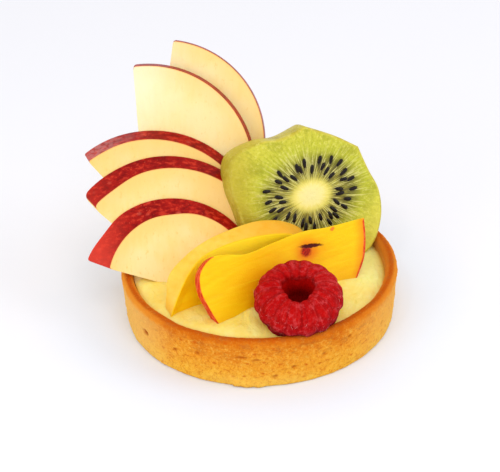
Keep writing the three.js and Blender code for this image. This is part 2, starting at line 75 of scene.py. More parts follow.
KIWI_THICKNESS = 8.0
KIWI_SEEDS_FRONT = 44
KIWI_SEEDS_BACK = 24
SEED_HALF_LENGTH = 1.2
SEED_HALF_WIDTH = 0.66
SEED_HALF_DEPTH = 0.42
KIWI_POSE = dict(at=(15.6, 9.3, 32.7), turn=25.0, lean=22.0)
KIWI_OUTLINE = [                    # degrees, mm from the core
    (-51, 25.8), (-30, 24.4), (-10, 22.3), (8, 20.0), (30, 20.5), (52, 18.7), (84, 20.1), (108, 19.2),
    (124, 22.6), (143, 27.0), (160, 25.5), (178, 23.1), (200, 22.9), (230, 23.0), (260, 22.3), (288, 24.0),
]
KIWI_CORNERS = (4, 6)

NECTARINE_FRONT_THICKNESS = 3.2
NECTARINE_FRONT_UNDERCUT = 0.3
NECTARINE_BACK_THICKNESS = 4.5
NECTARINE_FRONT_POSE = dict(at=(-11.3, -29.3, 15.0), turn=32.0, lean=31.0)
NECTARINE_BACK_POSE = dict(at=(-25.4, -24.6, 15.0), turn=30.0, lean=11.0)
NECTARINE_FRONT_OUTLINE = [
    (-0.2, -1.5), (-2.0, 5.2), (-2.8, 10.5), (-1.4, 15.3), (3.2, 18.3),
    (8.0, 17.7), (14.0, 15.9), (24.0, 16.2), (33.5, 16.3), (41.0, 15.1), (54.1, 13.9),
    (52.7, 8.4), (50.4, 3.2), (45.5, -2.4), (24.0, -1.6),
]
NECTARINE_FRONT_CORNERS = (0, 10, 13)
NECTARINE_BACK_FACE = [
    (-0.6, -2.0), (3.3, 4.7), (7.6, 10.4), (12.2, 13.8), (18.5, 15.0), (25.5, 15.1), (34.8, 13.8),
    (42.5, 11.2), (47.0, 6.5), (49.0, -2.0), (24.0, -2.4),
]
NECTARINE_BACK_OUTER = [
    (0.4, -2.0), (1.6, 3.8), (3.4, 9.9), (9.6, 14.1), (15.8, 16.3), (24.0, 17.3), (33.7, 17.1),
    (42.0, 14.3), (48.0, 9.2), (50.5, -2.0), (24.0, -2.4),
]
NECTARINE_BACK_CORNERS = (0, 9)

RASPBERRY_POSE = dict(at=(10.55, -27.0, 21.2), tilt=17.0)
RASPBERRY_HOLE = 4.7
DRUPELET_ROWS = [
    dict(count=15, radius=8.1, z=3.6, size=(3.9, 2.3, 2.1), droop=22),
    dict(count=16, radius=10.4, z=0.2, size=(2.4, 2.5, 2.7), droop=0),
    dict(count=14, radius=9.5, z=-3.2, size=(2.3, 2.6, 2.3), droop=0),
    dict(count=10, radius=6.9, z=-6.0, size=(2.3, 2.5, 2.0), droop=0),
]
BERRY_CORE = [                      # radius, height, from the foot up and down into the hollow
    (0, -8.6), (3.8, -8.5), (7.6, -7.0), (10.4, -4.0), (11.9, 0), (11.2, 2.9), (8.6, 5.1), (6.2, 5.2),
    (RASPBERRY_HOLE, 4.4), (RASPBERRY_HOLE - 0.5, 1.5), (3.4, -2.4), (1.6, -4.4), (0, -4.8),
]

SHELL_PITS = [                      # degrees, height, half width, half height, depth
    (214, 7.6, 1.3, 0.8, 1.0), (232, 8.0, 0.6, 0.5, 0.6), (243, 9.5, 0.6, 0.5, 0.6),
    (262, 10.6, 1.7, 0.4, 0.6), (268, 9.8, 1.2, 0.4, 0.5), (283, 6.2, 0.7, 0.5, 0.6),
    (275, 3.4, 0.9, 0.6, 0.5), (296, 8.4, 0.6, 0.5, 0.6), (308, 11.2, 0.6, 0.5, 0.6),
    (331, 7.0, 0.7, 0.5, 0.6), (20, 8.0, 0.9, 0.6, 0.7), (62, 5.5, 0.7, 0.6, 0.6),
    (97, 10.0, 1.1, 0.5, 0.7), (134, 6.0, 0.7, 0.6, 0.6), (171, 9.4, 0.8, 0.5, 0.6),
]


# ---------------------------------------------------------------- small helpers
class Draw:
    """The same seeded draws as the solids use, so that seeds and drupelets land in the same places."""

    def __init__(self, seed):
        self.state = seed

    def __call__(self):
        self.state = (self.state * 1664525 + 1013904223) % 4294967296
        return self.state / 4294967296


def wave(a, b, phase):
    return (np.sin(a + phase) + np.sin(b * 1.7 - phase * 2.3) + np.sin((a + b) * 0.9 + phase * 1.3)) / 3


def bump(distance, width):
    return np.exp(-(distance * distance) / (width * width))


def smoothstep(low, high, value):
    t = np.clip((value - low) / (high - low), 0, 1)
    return t * t * (3 - 2 * t)


def noise_field(points, scale, octaves=1, seed=0.0):
    """Noise between about -1 and 1 at each point, with features about 1/scale across."""
    offset = Vector((seed * 17.3, seed * 5.1, -seed * 9.7))
    values = np.empty(len(points))
    for i, point in enumerate(points):
        place = Vector(point) * scale + offset
        values[i] = noise.noise(place) if octaves == 1 else noise.fractal(place, 0.9, 2.1, octaves)
    return values


def slice_matrix(at, turn, lean):
    """From a slice's own frame in mm (X along it, Y up its face, Z out of the face) to metres."""
    a, b = math.radians(turn), math.radians(lean)
    along = Vector((math.cos(a), math.sin(a), 0))
    out = Vector((math.sin(a) * math.cos(b), -math.cos(a) * math.cos(b), math.sin(b)))
    up = out.cross(along)
    basis = Matrix((along, up, out)).transposed().to_4x4()
    return Matrix.Scale(MM, 4) @ Matrix.Translation(at) @ basis


def make_object(name, vertices_mm, faces, matrix=None, attributes=None, sharp_degrees=40):
    """A mesh object from mm points, with named vertex attributes."""
    mesh = bpy.data.meshes.new(name)
    mesh.from_pydata([tuple(v) for v in vertices_mm], [], faces)
    for key, values in (attributes or {}).items():
        values = np.asarray(values, dtype=float)
        if values.ndim == 1:
            layer = mesh.attributes.new(key, "FLOAT", "POINT")
            layer.data.foreach_set("value", values)
        else:
            layer = mesh.attributes.new(key, "FLOAT_VECTOR", "POINT")
            layer.data.foreach_set("vector", values.ravel())
    mesh.transform(matrix if matrix is not None else Matrix.Scale(MM, 4))
    mesh.validate()
    mesh.update()
    mesh.shade_smooth()
    if sharp_degrees:
        mesh.set_sharp_from_angle(angle=math.radians(sharp_degrees))
    piece = bpy.data.objects.new(name, mesh)
    bpy.context.scene.collection.objects.link(piece)
    return piece


def finish_piece(piece, node, slot, *materials, second_from=None):
    """Ties the piece to the tart and gives it its materials, the second one from a face number on."""
    for material in materials:
        piece.data.materials.append(material)
    if second_from is not None:
        slots = np.zeros(len(piece.data.polygons), dtype=np.int32)
        slots[second_from:] = 1
        piece.data.polygons.foreach_set("material_index", slots)
        piece.data.update()
    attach(piece, "root")
    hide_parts(node)


def padded(attributes, extra):
    """The attributes, with zeros for as many further points."""
    return {
        name: np.concatenate([values, np.zeros((extra, *values.shape[1:]))])
        for name, values in attributes.items()
    }


def circle(sides):
    """The angles of points round a full turn."""
    return np.arange(sides) * FULL_TURN / sides


def polar(radius, angle, z):
    return np.column_stack(np.broadcast_arrays(radius * np.cos(angle), radius * np.sin(angle), z))


def tube_faces(rings, sides, downward=False):
    """The faces of a closed solid through rings of points stacked upwards or downwards."""
    last = (rings - 1) * sides
    first_cap, last_cap = tuple(range(sides)), tuple(range(last, last + sides))
    faces = [first_cap if downward else first_cap[::-1]]
    for low in range(0, last, sides):
        high = low + sides
        for i in range(sides):
            j = (i + 1) % sides
            faces.append((low + i, high + i, high + j, low + j) if downward
                         else (low + i, low + j, high + j, high + i))
    return faces + [last_cap[::-1] if downward else last_cap]


def spindle_faces(rings, sides):
    """The faces of a closed solid through a first point, its rings of points and a last point."""
    last = 1 + (rings - 1) * sides
    faces = []
    for i in range(sides):
        j = (i + 1) % sides
        faces.append((0, 1 + j, 1 + i))
        faces.extend((a + i, a + j, a + sides + j, a + sides + i) for a in range(1, last, sides))
        faces.append((last + sides, last + i, last + j))
    return faces


def between(t, t_a, t_b, a, b):
    return (t_b - t) / (t_b - t_a) * a + (t - t_a) / (t_b - t_a) * b


def catmull_rom(points, closed, steps):
    """Points along a centripetal Catmull-Rom curve, without its last point."""
    points = [np.array(p, float) for p in points]
    count = len(points)
    curve = []
    for i in range(count if closed else count - 1):
        if closed:
            p0, p1, p2, p3 = (points[(i + k - 1) % count] for k in range(4))
        else:
            p1, p2 = points[i], points[i + 1]
            p0 = points[i - 1] if i > 0 else 2 * p1 - p2
            p3 = points[i + 2] if i + 2 < count else 2 * p2 - p1
        knots = [0.0]
        for a, b in ((p0, p1), (p1, p2), (p2, p3)):
            knots.append(knots[-1] + max(np.linalg.norm(b - a), 1e-6) ** 0.5)
        t0, t1, t2, t3 = knots
        for k in range(steps):
            t = t1 + (t2 - t1) * k / steps
            a1, a2, a3 = between(t, t0, t1, p0, p1), between(t, t1, t2, p1, p2), between(t, t2, t3, p2, p3)
            curve.append(between(t, t1, t2, between(t, t0, t2, a1, a2), between(t, t1, t3, a2, a3)))
    return curve


def smooth_outline(points, corners, steps):
    """A closed anticlockwise outline through points, sharp at the corners, and each point's place
    along the control points as a number."""
    outline, places = [], []
    starts = list(corners) or [0]
    for k, start in enumerate(starts):
        end = starts[k + 1] if k + 1 < len(starts) else starts[0] + len(points)
        run = [points[i % len(points)] for i in range(start, end + 1)]
        curve = catmull_rom(run[:-1] if not corners else run, not corners, steps)
        outline.extend(curve)
        places.extend(start + i / steps for i in range(len(curve)))
    outline, places = np.array(outline), np.array(places)
    following = np.roll(outline, -1, axis=0)
    area = np.sum(outline[:, 0] * following[:, 1] - following[:, 0] * outline[:, 1])
    if area < 0:
        outline, places = outline[::-1], places[::-1]
    return outline, places


def inset_outline(outline, spine, distance):
    """The outline drawn in by a distance towards the nearest point of its spine segment."""
    start, end = np.array(spine[0], float), np.array(spine[1], float)
    span = end - start
    length = max(span @ span, 1e-9)
    share = np.clip((outline - start) @ span / length, 0, 1)
    nearest = start + share[:, None] * span
    reach = np.linalg.norm(outline - nearest, axis=1)
    keep = np.clip(1 - distance / reach, 0.02, 1)
    return nearest + keep[:, None] * (outline - nearest)


FACE, WALL, BACK = 0, 1, 2
ROUND_STEPS = (0.33, 0.67)


def slab_layers(face, back, spine, thickness, insets, wall_rings, rounding, crown):
    """Rings of points of a slice, from the middle of its face over its wall to the middle of its
    back, each with its depth below the face and whether it lies on the face, wall or back."""

    def rounded(outline, step):
        """The ring and its depth at a step of the way round an edge, 0 at the face or the back."""
        angle = step * math.pi / 2
        ring = inset_outline(outline, spine, rounding * (1 - math.sin(angle)))
        return ring, rounding * (1 - math.cos(angle))

    layers = [(inset_outline(face, spine, inset + rounding), 0.0, FACE) for inset in insets[::-1]]
    layers += [(*rounded(face, step), WALL) for step in ROUND_STEPS]
    for i in range(wall_rings + 1):
        share = i / wall_rings
        ring = inset_outline(face + (back - face) * share, spine, -crown * math.sin(math.pi * share))
        layers.append((ring, rounding + (thickness - 2 * rounding) * share, WALL))
    for step in ROUND_STEPS[::-1]:
        ring, depth = rounded(back, step)
        layers.append((ring, thickness - depth, WALL))
    return layers + [(inset_outline(back, spine, inset + rounding), thickness, BACK) for inset in insets]


def slab_mesh(layers):
    """Vertices and faces of a closed slice through its layers, and each layer's mark per vertex."""
    count = len(layers[0][0])
    vertices = np.concatenate([np.column_stack([ring, np.full(count, -depth)]) for ring, depth, _ in layers])
    where = np.repeat([mark for _, _, mark in layers], count)
    return vertices, tube_faces(len(layers), count, downward=True), where


# ---------------------------------------------------------------- shader building
MIX_COLOUR_A, MIX_COLOUR_B, MIX_COLOUR_RESULT = 6, 7, 2


class Field:
    """A value or colour inside a shader. Values take part in sums, differences and products."""

    def __init__(self, shader, socket):
        self.shader, self.socket = shader, socket

    def __add__(self, other):
        return self.shader.math("ADD", self, other)

    def __sub__(self, other):
        return self.shader.math("SUBTRACT", self, other)

    def __rsub__(self, other):
        return self.shader.math("SUBTRACT", other, self)

    def __mul__(self, other):
        return self.shader.math("MULTIPLY", self, other)

    def __truediv__(self, other):
        return self.shader.math("DIVIDE", self, other)


def linear(colour):
    """An sRGB colour of 0 to 255 as linear RGBA. A colour from a node stays as it is."""
    if isinstance(colour, Field):
        return colour
    shares = [channel / 255 for channel in colour]
    return (*(c / 12.92 if c <= 0.04045 else ((c + 0.055) / 1.055) ** 2.4 for c in shares), 1)


class Shader:
    """Short names for the nodes that a material, called s below, is built from. Lengths are mm."""

    def __init__(self, name):
        self.material = bpy.data.materials.new(name)
        self.material.use_nodes = True
        self.tree = self.material.node_tree
        self.tree.nodes.clear()
        self.surface = self.node("BsdfPrincipled")
        self.tree.links.new(self.surface.outputs[0], self.node("OutputMaterial").inputs["Surface"])
        place = Field(self, self.node("TexCoord").outputs["Object"])
        self.place = self.vector("SCALE", place, scale=1 / MM)

    def fill(self, node, inputs):
        for key, value in inputs.items():
            if isinstance(value, Field):
                self.tree.links.new(value.socket, node.inputs[key])
            elif value is not None:
                node.inputs[key].default_value = value

    def node(self, kind, inputs=None, **settings):
        node = self.tree.nodes.new("ShaderNode" + kind)
        for key, value in settings.items():
            setattr(node, key, value)
        self.fill(node, inputs or {})
        return node

    def math(self, operation, a, b=None):
        return Field(self, self.node("Math", {0: a, 1: b}, operation=operation).outputs[0])

    def vector(self, operation, a, b=None, scale=None):
        inputs = {0: a, 1: b, "Scale": scale}
        node = self.node("VectorMath", inputs, operation=operation)
        return Field(self, node.outputs["Value" if operation == "LENGTH" else "Vector"])

    def attribute(self, name, output="Fac"):
        return Field(self, self.node("Attribute", attribute_name=name).outputs[output])

    def axes(self, vector):
        return [Field(self, socket) for socket in self.node("SeparateXYZ", {0: vector}).outputs]

    def join(self, x, y, z):
        return Field(self, self.node("CombineXYZ", {0: x, 1: y, 2: z}).outputs[0])

    def noise(self, vector, scale, detail=2.0, roughness=0.5, distortion=0.0, stretch=None, output="Fac"):
        if stretch:
            vector = self.vector("MULTIPLY", vector, stretch)
        inputs = {"Vector": vector, "Scale": scale, "Detail": detail, "Roughness": roughness,
                  "Distortion": distortion}
        return Field(self, self.node("TexNoise", inputs).outputs[output])

    def cells(self, scale, shift=(0, 0, 0), stretch=(1, 1, 1)):
        """Distance to the nearest of many scattered points."""
        vector = self.vector("MULTIPLY", self.vector("ADD", self.place, shift), stretch)
        return Field(self, self.node("TexVoronoi", {"Vector": vector, "Scale": scale}).outputs["Distance"])

    def ramp(self, value, *stops):
        """Colour by a value: stops are (position, (r, g, b)) in sRGB 0 to 255."""
        node = self.node("ValToRGB", {0: value})
        while len(node.color_ramp.elements) < len(stops):
            node.color_ramp.elements.new(0.5)
        for element, (position, colour) in zip(node.color_ramp.elements, stops):
            element.position, element.color = position, linear(colour)
        return Field(self, node.outputs[0])

    def span(self, value, low, high, to_low=0.0, to_high=1.0, smooth=True):
        """The value as it goes from low to high, turned into one from to_low to to_high."""
        inputs = {"Value": value, "From Min": low, "From Max": high, "To Min": to_low, "To Max": to_high}
        node = self.node("MapRange", inputs, interpolation_type="SMOOTHSTEP" if smooth else "LINEAR")
        return Field(self, node.outputs["Result"])

    def mix(self, share, a, b):
        inputs = {"Factor": share, MIX_COLOUR_A: linear(a), MIX_COLOUR_B: linear(b)}
        return Field(self, self.node("Mix", inputs, data_type="RGBA").outputs[MIX_COLOUR_RESULT])

    def paint(self, tone, *coats):
        """The tone under coats of colour, each (share, colour)."""
        for share, colour in coats:
            tone = self.mix(share, tone, colour)
        return tone

    def relief(self, height, distance_mm, strength):
        inputs = {"Strength": strength, "Distance": distance_mm * MM, "Height": height}
        return Field(self, self.node("Bump", inputs).outputs[0])

    def finish(self, colour, roughness, normal=None, specular=0.5, subsurface=0.0, radius_mm=(1, 0.6, 0.3)):
        self.fill(self.surface, {
            "Base Color": linear(colour), "Roughness": roughness, "Normal": normal,
            "Specular IOR Level": specular, "Subsurface Weight": subsurface,
            "Subsurface Radius": radius_mm, "Subsurface Scale": MM,
        })
        return self.material


# ---------------------------------------------------------------- materials
def crust_material():
    s = Shader("baked_shortcrust")
    sideways, _, height = s.axes(s.place)
    # bake: browner towards the rim from the baking, and paler at the foot, where the floor's bounce light is
    # painted in
    bake = s.span(height, 0.5, 16.2, smooth=False) + (s.noise(s.place, 0.13, 3, 0.6) - 0.5) * 1.1
    grain = s.noise(s.place, 0.95, 6, 0.78)
    fine = s.noise(s.place, 2.6, 4, 0.7)
    light = s.span(height, 15.5, 12.5, 0.35, 1.0)
    browned = s.span(s.noise(s.place, 0.33, 4, 0.65, stretch=(1.0, 1.0, 1.8)), 0.52, 0.66)
    spots = s.cells(0.30, shift=(3.1, 0.0, 1.7), stretch=(1.0, 1.0, 1.5))
    pricks = s.cells(0.62)
    # middle: the front middle of the shell, where painted floor-bounce light makes the lower part paler
    middle = s.span(sideways, -24.0, -8.0) * s.span(sideways, 20.0, 6.0)
    # ends and pale: painted light, the shell's sides made paler where the lamps leave them darker
    ends = s.math("MAXIMUM", s.span(sideways, 22.0, 39.0, 0, 0.45), s.span(sideways, -22.0, -36.0, 0, 0.65))
    pale = s.mix(s.span(height, 13.5, 15.2), (255, 202, 108), (252, 164, 52))
    tone = s.paint(
        s.ramp(bake, (0.0, (255, 190, 58)), (0.30, (250, 172, 48)), (0.62, (243, 155, 38)),
               (0.85, (230, 132, 24)), (1.0, (214, 112, 14))),
        (s.span(height, 14.2, 15.6, 0, 0.6), (214, 104, 8)),
        (s.attribute("crest") * 0.85, (198, 82, 2)),
        (s.attribute("inside") * 0.9, (224, 120, 30)),
        (s.span(grain, 0.50, 0.62, 0, 0.60), (214, 104, 14)),
        (s.span(grain, 0.48, 0.36, 0, 0.45) * light, (255, 212, 96)),
        (s.span(fine, 0.54, 0.66, 0, 0.35), (216, 108, 18)),
        (s.span(fine, 0.46, 0.34, 0, 0.35) * light, (255, 210, 104)),
        (browned * s.span(height, 7.0, 12.5) * 0.45, (190, 104, 40)),
        (s.span(spots, 0.26, 0.06, 0, 0.75), (216, 96, 8)),
        (s.span(pricks, 0.20, 0.06, 0, 0.5), (208, 94, 10)),
        # painted floor-bounce light: paler low on the front middle
        (middle * s.span(height, 5.5, 1.0, 0, 0.3), (255, 214, 100)),
        # painted light on the shell's sides
        (ends * (1 - s.attribute("crest")), pale),
        (s.attribute("pit"), (176, 66, 4)),
    )
    normal = s.relief(grain + fine * 0.6, 0.55, 0.8)
    return s.finish(tone, 0.85, normal, specular=0.05, subsurface=0.08, radius_mm=(0.8, 0.4, 0.15))


def cream_material():
    s = Shader("custard_cream")
    mottle = s.noise(s.place, 0.13, 4, 0.6)
    curds_and_sheen = s.noise(s.place, 0.55, 4, 0.65)
    swirls = s.noise(s.place, 0.28, 3, 0.5, 0.6, stretch=(1.0, 0.5, 1.0))
    tone = s.paint(
        s.ramp(mottle, (0.32, (252, 216, 88)), (0.5, (253, 226, 112)), (0.68, (254, 234, 138))),
        # painted light: paler cream at the right rear, where the fruit shades it
        (s.attribute("painted_light_rear"), (255, 248, 146)),
        # painted shade: darker where the cream meets the shell's wall
        (s.attribute("edge"), (240, 196, 80)),
        # lighter patches: painted highlights; the same noise also gives the curdy bump
        (s.span(curds_and_sheen, 0.54, 0.70, 0, 0.12), (255, 242, 178)),
    )
    normal = s.relief(swirls * 3.0 + curds_and_sheen * 0.7, 0.6, 0.5)
    return s.finish(tone, 0.2, normal, specular=0.5, subsurface=0.35, radius_mm=(2.0, 1.4, 0.6))


def apple_material():
    s = Shader("apple_slice")
    peel = s.attribute("peel")          # mm in from the skin
    local = s.attribute("local", "Vector")
    fibres = s.noise(local, 0.6, 4, 0.55, stretch=(1.0, 0.25, 1.0))
    grain = s.noise(local, 2.4, 3, 0.6)
    cloud = s.noise(local, 0.09, 2, 0.5)
    flecks = s.noise(local, 1.0, 5, 0.75, stretch=(0.9, 0.45, 1.0))
    flesh = s.paint(
        s.ramp(fibres, (0.3, (249, 219, 138)), (0.52, (251, 224, 146)), (0.75, (252, 228, 158))),
        (s.span(cloud, 0.40, 0.66, 0, 0.6), (252, 234, 176)),
        (s.span(peel, 7.0, 0.2, 0, 0.6), (246, 200, 104)),
        # painted shade and bounce light: warmer, darker flesh on the slices' right sides beside the kiwi, and
        # a warmer tone over the first three slices
        (s.attribute("warm"), (246, 202, 118)),
        (s.span(flecks, 0.56, 0.68, 0, 0.5), (240, 190, 92)),
        # painted light: the flesh of slices 4 and 5 paler, most towards their upper left
        (s.attribute("painted_light_face"), (253, 240, 202)),
        (s.span(peel, 0.50, 0.12, 0, 0.6), (232, 140, 70)),
    )
    blush = s.noise(s.place, 0.20, 4, 0.65)
    mottle = s.noise(s.place, 0.85, 5, 0.7, stretch=(0.5, 1.0, 1.0))
    # streaks of the painted reflection on the skin
    sheen_streaks = s.span(s.noise(local, 1.3, 4, 0.6, stretch=(0.4, 0.8, 0.6)), 0.38, 0.56)
    dots = s.cells(0.30, stretch=(0.7, 1.0, 1.0))
    small = s.cells(0.8, shift=(9.0, 4.0, 2.0))
    skin = s.paint(
        s.ramp(blush, (0.25, (124, 4, 4)), (0.5, (156, 12, 8)), (0.8, (184, 28, 16))),
        (s.span(mottle, 0.51, 0.62, 0, 0.6), (214, 60, 36)),
        (s.span(mottle, 0.48, 0.37, 0, 0.6), (100, 2, 2)),
        # painted sheen: lighter red skin at the slices' left tips
        (s.attribute("pale") * 0.75, (224, 64, 46)),
        # painted reflection: a greyish-pink sheen patch on the third slice's skin
        (s.attribute("painted_sheen_patch") * (sheen_streaks * 0.35 + 0.15), (206, 146, 140)),
        (s.span(dots, 0.24, 0.05, 0, 0.35), (224, 100, 80)),
        (s.span(small, 0.17, 0.06, 0, 0.5), (220, 92, 66)),
    )
    rind = s.span(peel, 0.16, 0.09)
    normal = s.relief((grain * 0.5 + fibres * 0.8) * (1 - rind), 0.25, 0.35)
    return s.finish(s.mix(rind, flesh, skin), 0.48 - rind * 0.14, normal, specular=0.12, subsurface=0.15,
                    radius_mm=(1.0, 0.7, 0.3))


def kiwi_material():
    s = Shader("kiwi_flesh")
    local = s.attribute("local", "Vector")
    sideways, upwards, _ = s.axes(local)
    ray = s.attribute("ray")            # angle round the core
    reach = s.attribute("reach")        # mm from the core's middle, less oval than the slice
    turn = s.join(s.math("COSINE", ray), s.math("SINE", ray), 0.0)

    def rays(fineness, start):
        """A place that changes fast round the core and slowly away from it."""
        return s.vector("ADD", s.vector("SCALE", turn, scale=fineness), s.join(start, 0.0, reach * 0.12))

    spokes = s.noise(rays(11.0, 0.0), 1.6, 4, 0.65)
    threads = s.noise(rays(24.0, 4.0), 1.4, 3, 0.6)
    soft = s.noise(local, 0.15, 3, 0.55)
    pulp = s.noise(local, 0.9, 4, 0.7)
    body = s.span(reach, 11.0, 16.0)
    ring = s.span(reach, 4.5, 7.0) * s.span(reach, 21.0, 11.0)
    near = s.span(reach, 5.0, 7.0) * s.span(reach, 16.0, 12.0)
    outer = s.span(reach, 11.0, 14.0)
    wall = s.paint(
        s.ramp(soft, (0.3, (178, 160, 34)), (0.5, (208, 192, 58)), (0.7, (216, 204, 80))),
        (s.span(pulp, 0.50, 0.64, 0, 0.5), (232, 222, 116)),
        (s.span(sideways, -12.0, -22.0, 0, 0.4), (172, 150, 26)),
    )
    out_from_core = s.span(reach + (spokes - 0.5) * 4.5, 0, 24, smooth=False)
    tone = s.paint(
        s.ramp(out_from_core, (0.0, (244, 234, 162)), (0.14, (248, 236, 152)), (0.19, (242, 228, 120)),
               (0.26, (214, 202, 80)), (0.36, (178, 168, 58)), (0.46, (146, 142, 44)),
               (0.56, (164, 164, 40)), (0.70, (196, 198, 48)), (1.0, (212, 206, 64))),
        (body * s.span(soft, 0.50, 0.64, 0, 0.5), (160, 160, 24)),
        (body * s.span(pulp, 0.52, 0.64, 0, 0.5), (234, 230, 116)),
        (body * s.span(pulp, 0.48, 0.36, 0, 0.5), (164, 166, 28)),
        (ring * s.span(spokes, 0.52, 0.62, 0, 0.35), (212, 208, 96)),
        (near * s.span(threads, 0.49, 0.42, 0, 0.8), (92, 82, 38)),
        (s.attribute("halo") * 0.75, (66, 56, 28)),
        (ring * s.span(threads, 0.54, 0.58, 0, 0.75), (230, 224, 142)),
        (outer * s.span(threads, 0.48, 0.38, 0, 0.4), (156, 158, 30)),
        (s.span(sideways, -12.0, -25.0, 0, 0.8), (192, 172, 42)),
        # painted light: paler towards the lower right, lifting the shade that falls there
        (s.span(sideways - upwards, 20.0, 34.0, 0, 0.6), (236, 226, 84)),
        (s.span(sideways + upwards, -16.0, -28.0, 0, 0.85), (160, 132, 10)),
        (s.attribute("wall"), wall),
    )
    normal = s.relief((spokes + threads * 0.5) * ring + pulp * 0.9, 0.6, 0.8)
    return s.finish(tone, s.span(pulp, 0.3, 0.7, 0.28, 0.42), normal, specular=0.25, subsurface=0.08,
                    radius_mm=(0.8, 1.0, 0.3))


def seed_material():
    s = Shader("kiwi_seed")
    tone = s.ramp(s.noise(s.place, 1.6), (0.3, (8, 5, 4)), (0.7, (34, 22, 16)))
    return s.finish(tone, 0.25, specular=0.2)


STONE_SLIT = dict(at=(34.8, 11.6), half=(3.6, 0.55), turn=-13.0)
STONE_SPOT = dict(at=(32.8, 10.6), half=(1.7, 1.5), turn=20.0)
STONE_STAIN = dict(STONE_SPOT, half=(3.0, 2.6))
STONE_DOT = dict(at=(42.9, 14.1), half=(0.8, 0.5), turn=0.0)


def stone_mask(s, local, mark, soft):
    """1 inside a mark on the nectarine's face and 0 outside, with a ragged edge."""
    ragged = s.vector("SUBTRACT", s.noise(local, 1.3, output="Color"), (0.5, 0.5, 0.5))
    from_mark = s.vector("SUBTRACT", local, (*mark["at"], 0))
    x, y, _ = s.axes(s.vector("ADD", from_mark, s.vector("SCALE", ragged, scale=0.8)))
    turn = math.radians(mark["turn"])
    along = (x * math.cos(turn) + y * math.sin(turn)) / mark["half"][0]
    across = (y * math.cos(turn) - x * math.sin(turn)) / mark["half"][1]
    return s.span(s.vector("LENGTH", s.join(along, across, 0.0)), 1.0 + soft, 1.0 - soft)


def nectarine_material(name, marked):
    """Golden flesh, its pared wall paler, with red skin where the attribute says so."""
    s = Shader(name)
    local = s.attribute("local", "Vector")
    warm = s.attribute("warm")
    fibres = s.noise(local, 0.7, 4, 0.55, 0.3, stretch=(0.16, 1.0, 1.0))
    wall = s.ramp(s.noise(local, 0.35, 3, 0.55), (0.3, (248, 192, 60)), (0.7, (252, 208, 86)))
    tone = s.paint(
        s.ramp(fibres, (0.28, (252, 194, 4)), (0.5, (254, 202, 8)), (0.72, (255, 211, 20))),
        (s.span(s.noise(local, 0.10, 2, 0.5), 0.45, 0.7, 0, 0.3), (252, 184, 2)),
        # painted light on the back slice's face, where the front slice shades it
        (s.attribute("lit"), s.mix(warm, (255, 226, 56), (255, 223, 16))),
        # real orange near the skin, the stone and the right foot, with painted shade along the cream and
        # behind the raspberry
        (s.attribute("glow"), (236, 124, 0)),
        (s.attribute("band"), s.mix(warm, wall, (238, 160, 14))),
    )
    bumps = fibres + s.noise(local, 2.2, 3, 0.6) * 0.3
    if marked:
        red = s.ramp(s.noise(local, 1.8, 4, 0.7), (0.35, (120, 6, 2)), (0.65, (214, 50, 16)))
        slit = stone_mask(s, local, STONE_SLIT, 0.3)
        tone = s.paint(
            tone,
            (stone_mask(s, local, STONE_STAIN, 0.6) * 0.55, (236, 112, 4)),
            (stone_mask(s, local, STONE_SPOT, 0.35), red),
            (stone_mask(s, local, STONE_DOT, 0.4) * 0.7, (224, 84, 44)),
            (slit, (78, 10, 6)),
        )
        bumps = bumps - slit * 1.5
    streaks = s.noise(s.place, 0.9, 4, 0.65, stretch=(1.0, 1.0, 0.5))
    skin = s.ramp(streaks, (0.3, (190, 18, 8)), (0.5, (222, 48, 24)), (0.75, (242, 132, 74)))
    tone = s.mix(s.attribute("peel"), tone, skin)
    normal = s.relief(bumps, 0.35, 0.45)
    return s.finish(tone, 0.38, normal, specular=0.14, subsurface=0.25, radius_mm=(2.6, 1.7, 0.3))


def raspberry_material():
    s = Shader("raspberry_flesh")
    around = s.attribute("around", "Vector")
    inside = s.attribute("inside")
    ridges = s.noise(around, 1.0, 4, 0.65)
    threads = s.noise(around, 3.0, 3, 0.6)
    mottle = s.noise(s.place, 0.7, 3, 0.6)
    # fine noise: a real fuzzy bump, and specks of painted highlight
    fuzz_and_sheen = s.noise(s.place, 2.4, 5, 0.78)
    # this mask: where highlights are painted, on the outside of the berry
    lit = s.span(s.noise(s.place, 0.35), 0.36, 0.6, 0.4, 1.0) * s.span(inside, 1.0, 0.0)
    streaks = s.span(ridges, 0.50, 0.66) * s.span(threads, 0.40, 0.62) * lit
    sheen_patches = s.span(s.noise(s.place, 0.6, 5, 0.7), 0.49, 0.62, 0, 0.48) * lit
    tone = s.paint(
        s.ramp(mottle, (0.3, (172, 0, 4)), (0.55, (192, 4, 4)), (0.8, (208, 18, 12))),
        (s.span(ridges, 0.47, 0.36, 0, 0.45), (134, 0, 6)),
        # painted shade in the creases between drupelets
        (s.span(s.attribute("crease"), 0.30, 0.0, 0, 0.5), (140, 0, 0)),
        (s.attribute("low") * 0.8, (112, 0, 20)),
        # painted highlights: pink streaks, patches and specks on the drupelets
        (streaks * 0.36, (232, 84, 80)),
        (sheen_patches, (222, 76, 80)),
        (s.span(fuzz_and_sheen, 0.53, 0.64, 0, 0.18) * lit, (228, 116, 116)),
        (inside * 0.7, (232, 10, 2)),
        # painted shade deep in the hole
        (s.attribute("deep") * 0.7, (64, 0, 2)),
    )
    normal = s.relief(fuzz_and_sheen * 0.7 + ridges * 1.6 + threads * 0.5, 0.6, 0.7)
    rough = s.span(streaks, 0.1, 0.8, 0.65, 0.3)
    return s.finish(tone, rough, normal, specular=0.06, subsurface=0.08, radius_mm=(1.0, 0.1, 0.1))


def hair_material():
    return Shader("raspberry_hair").finish((236, 176, 168), 0.6, specular=0.3)


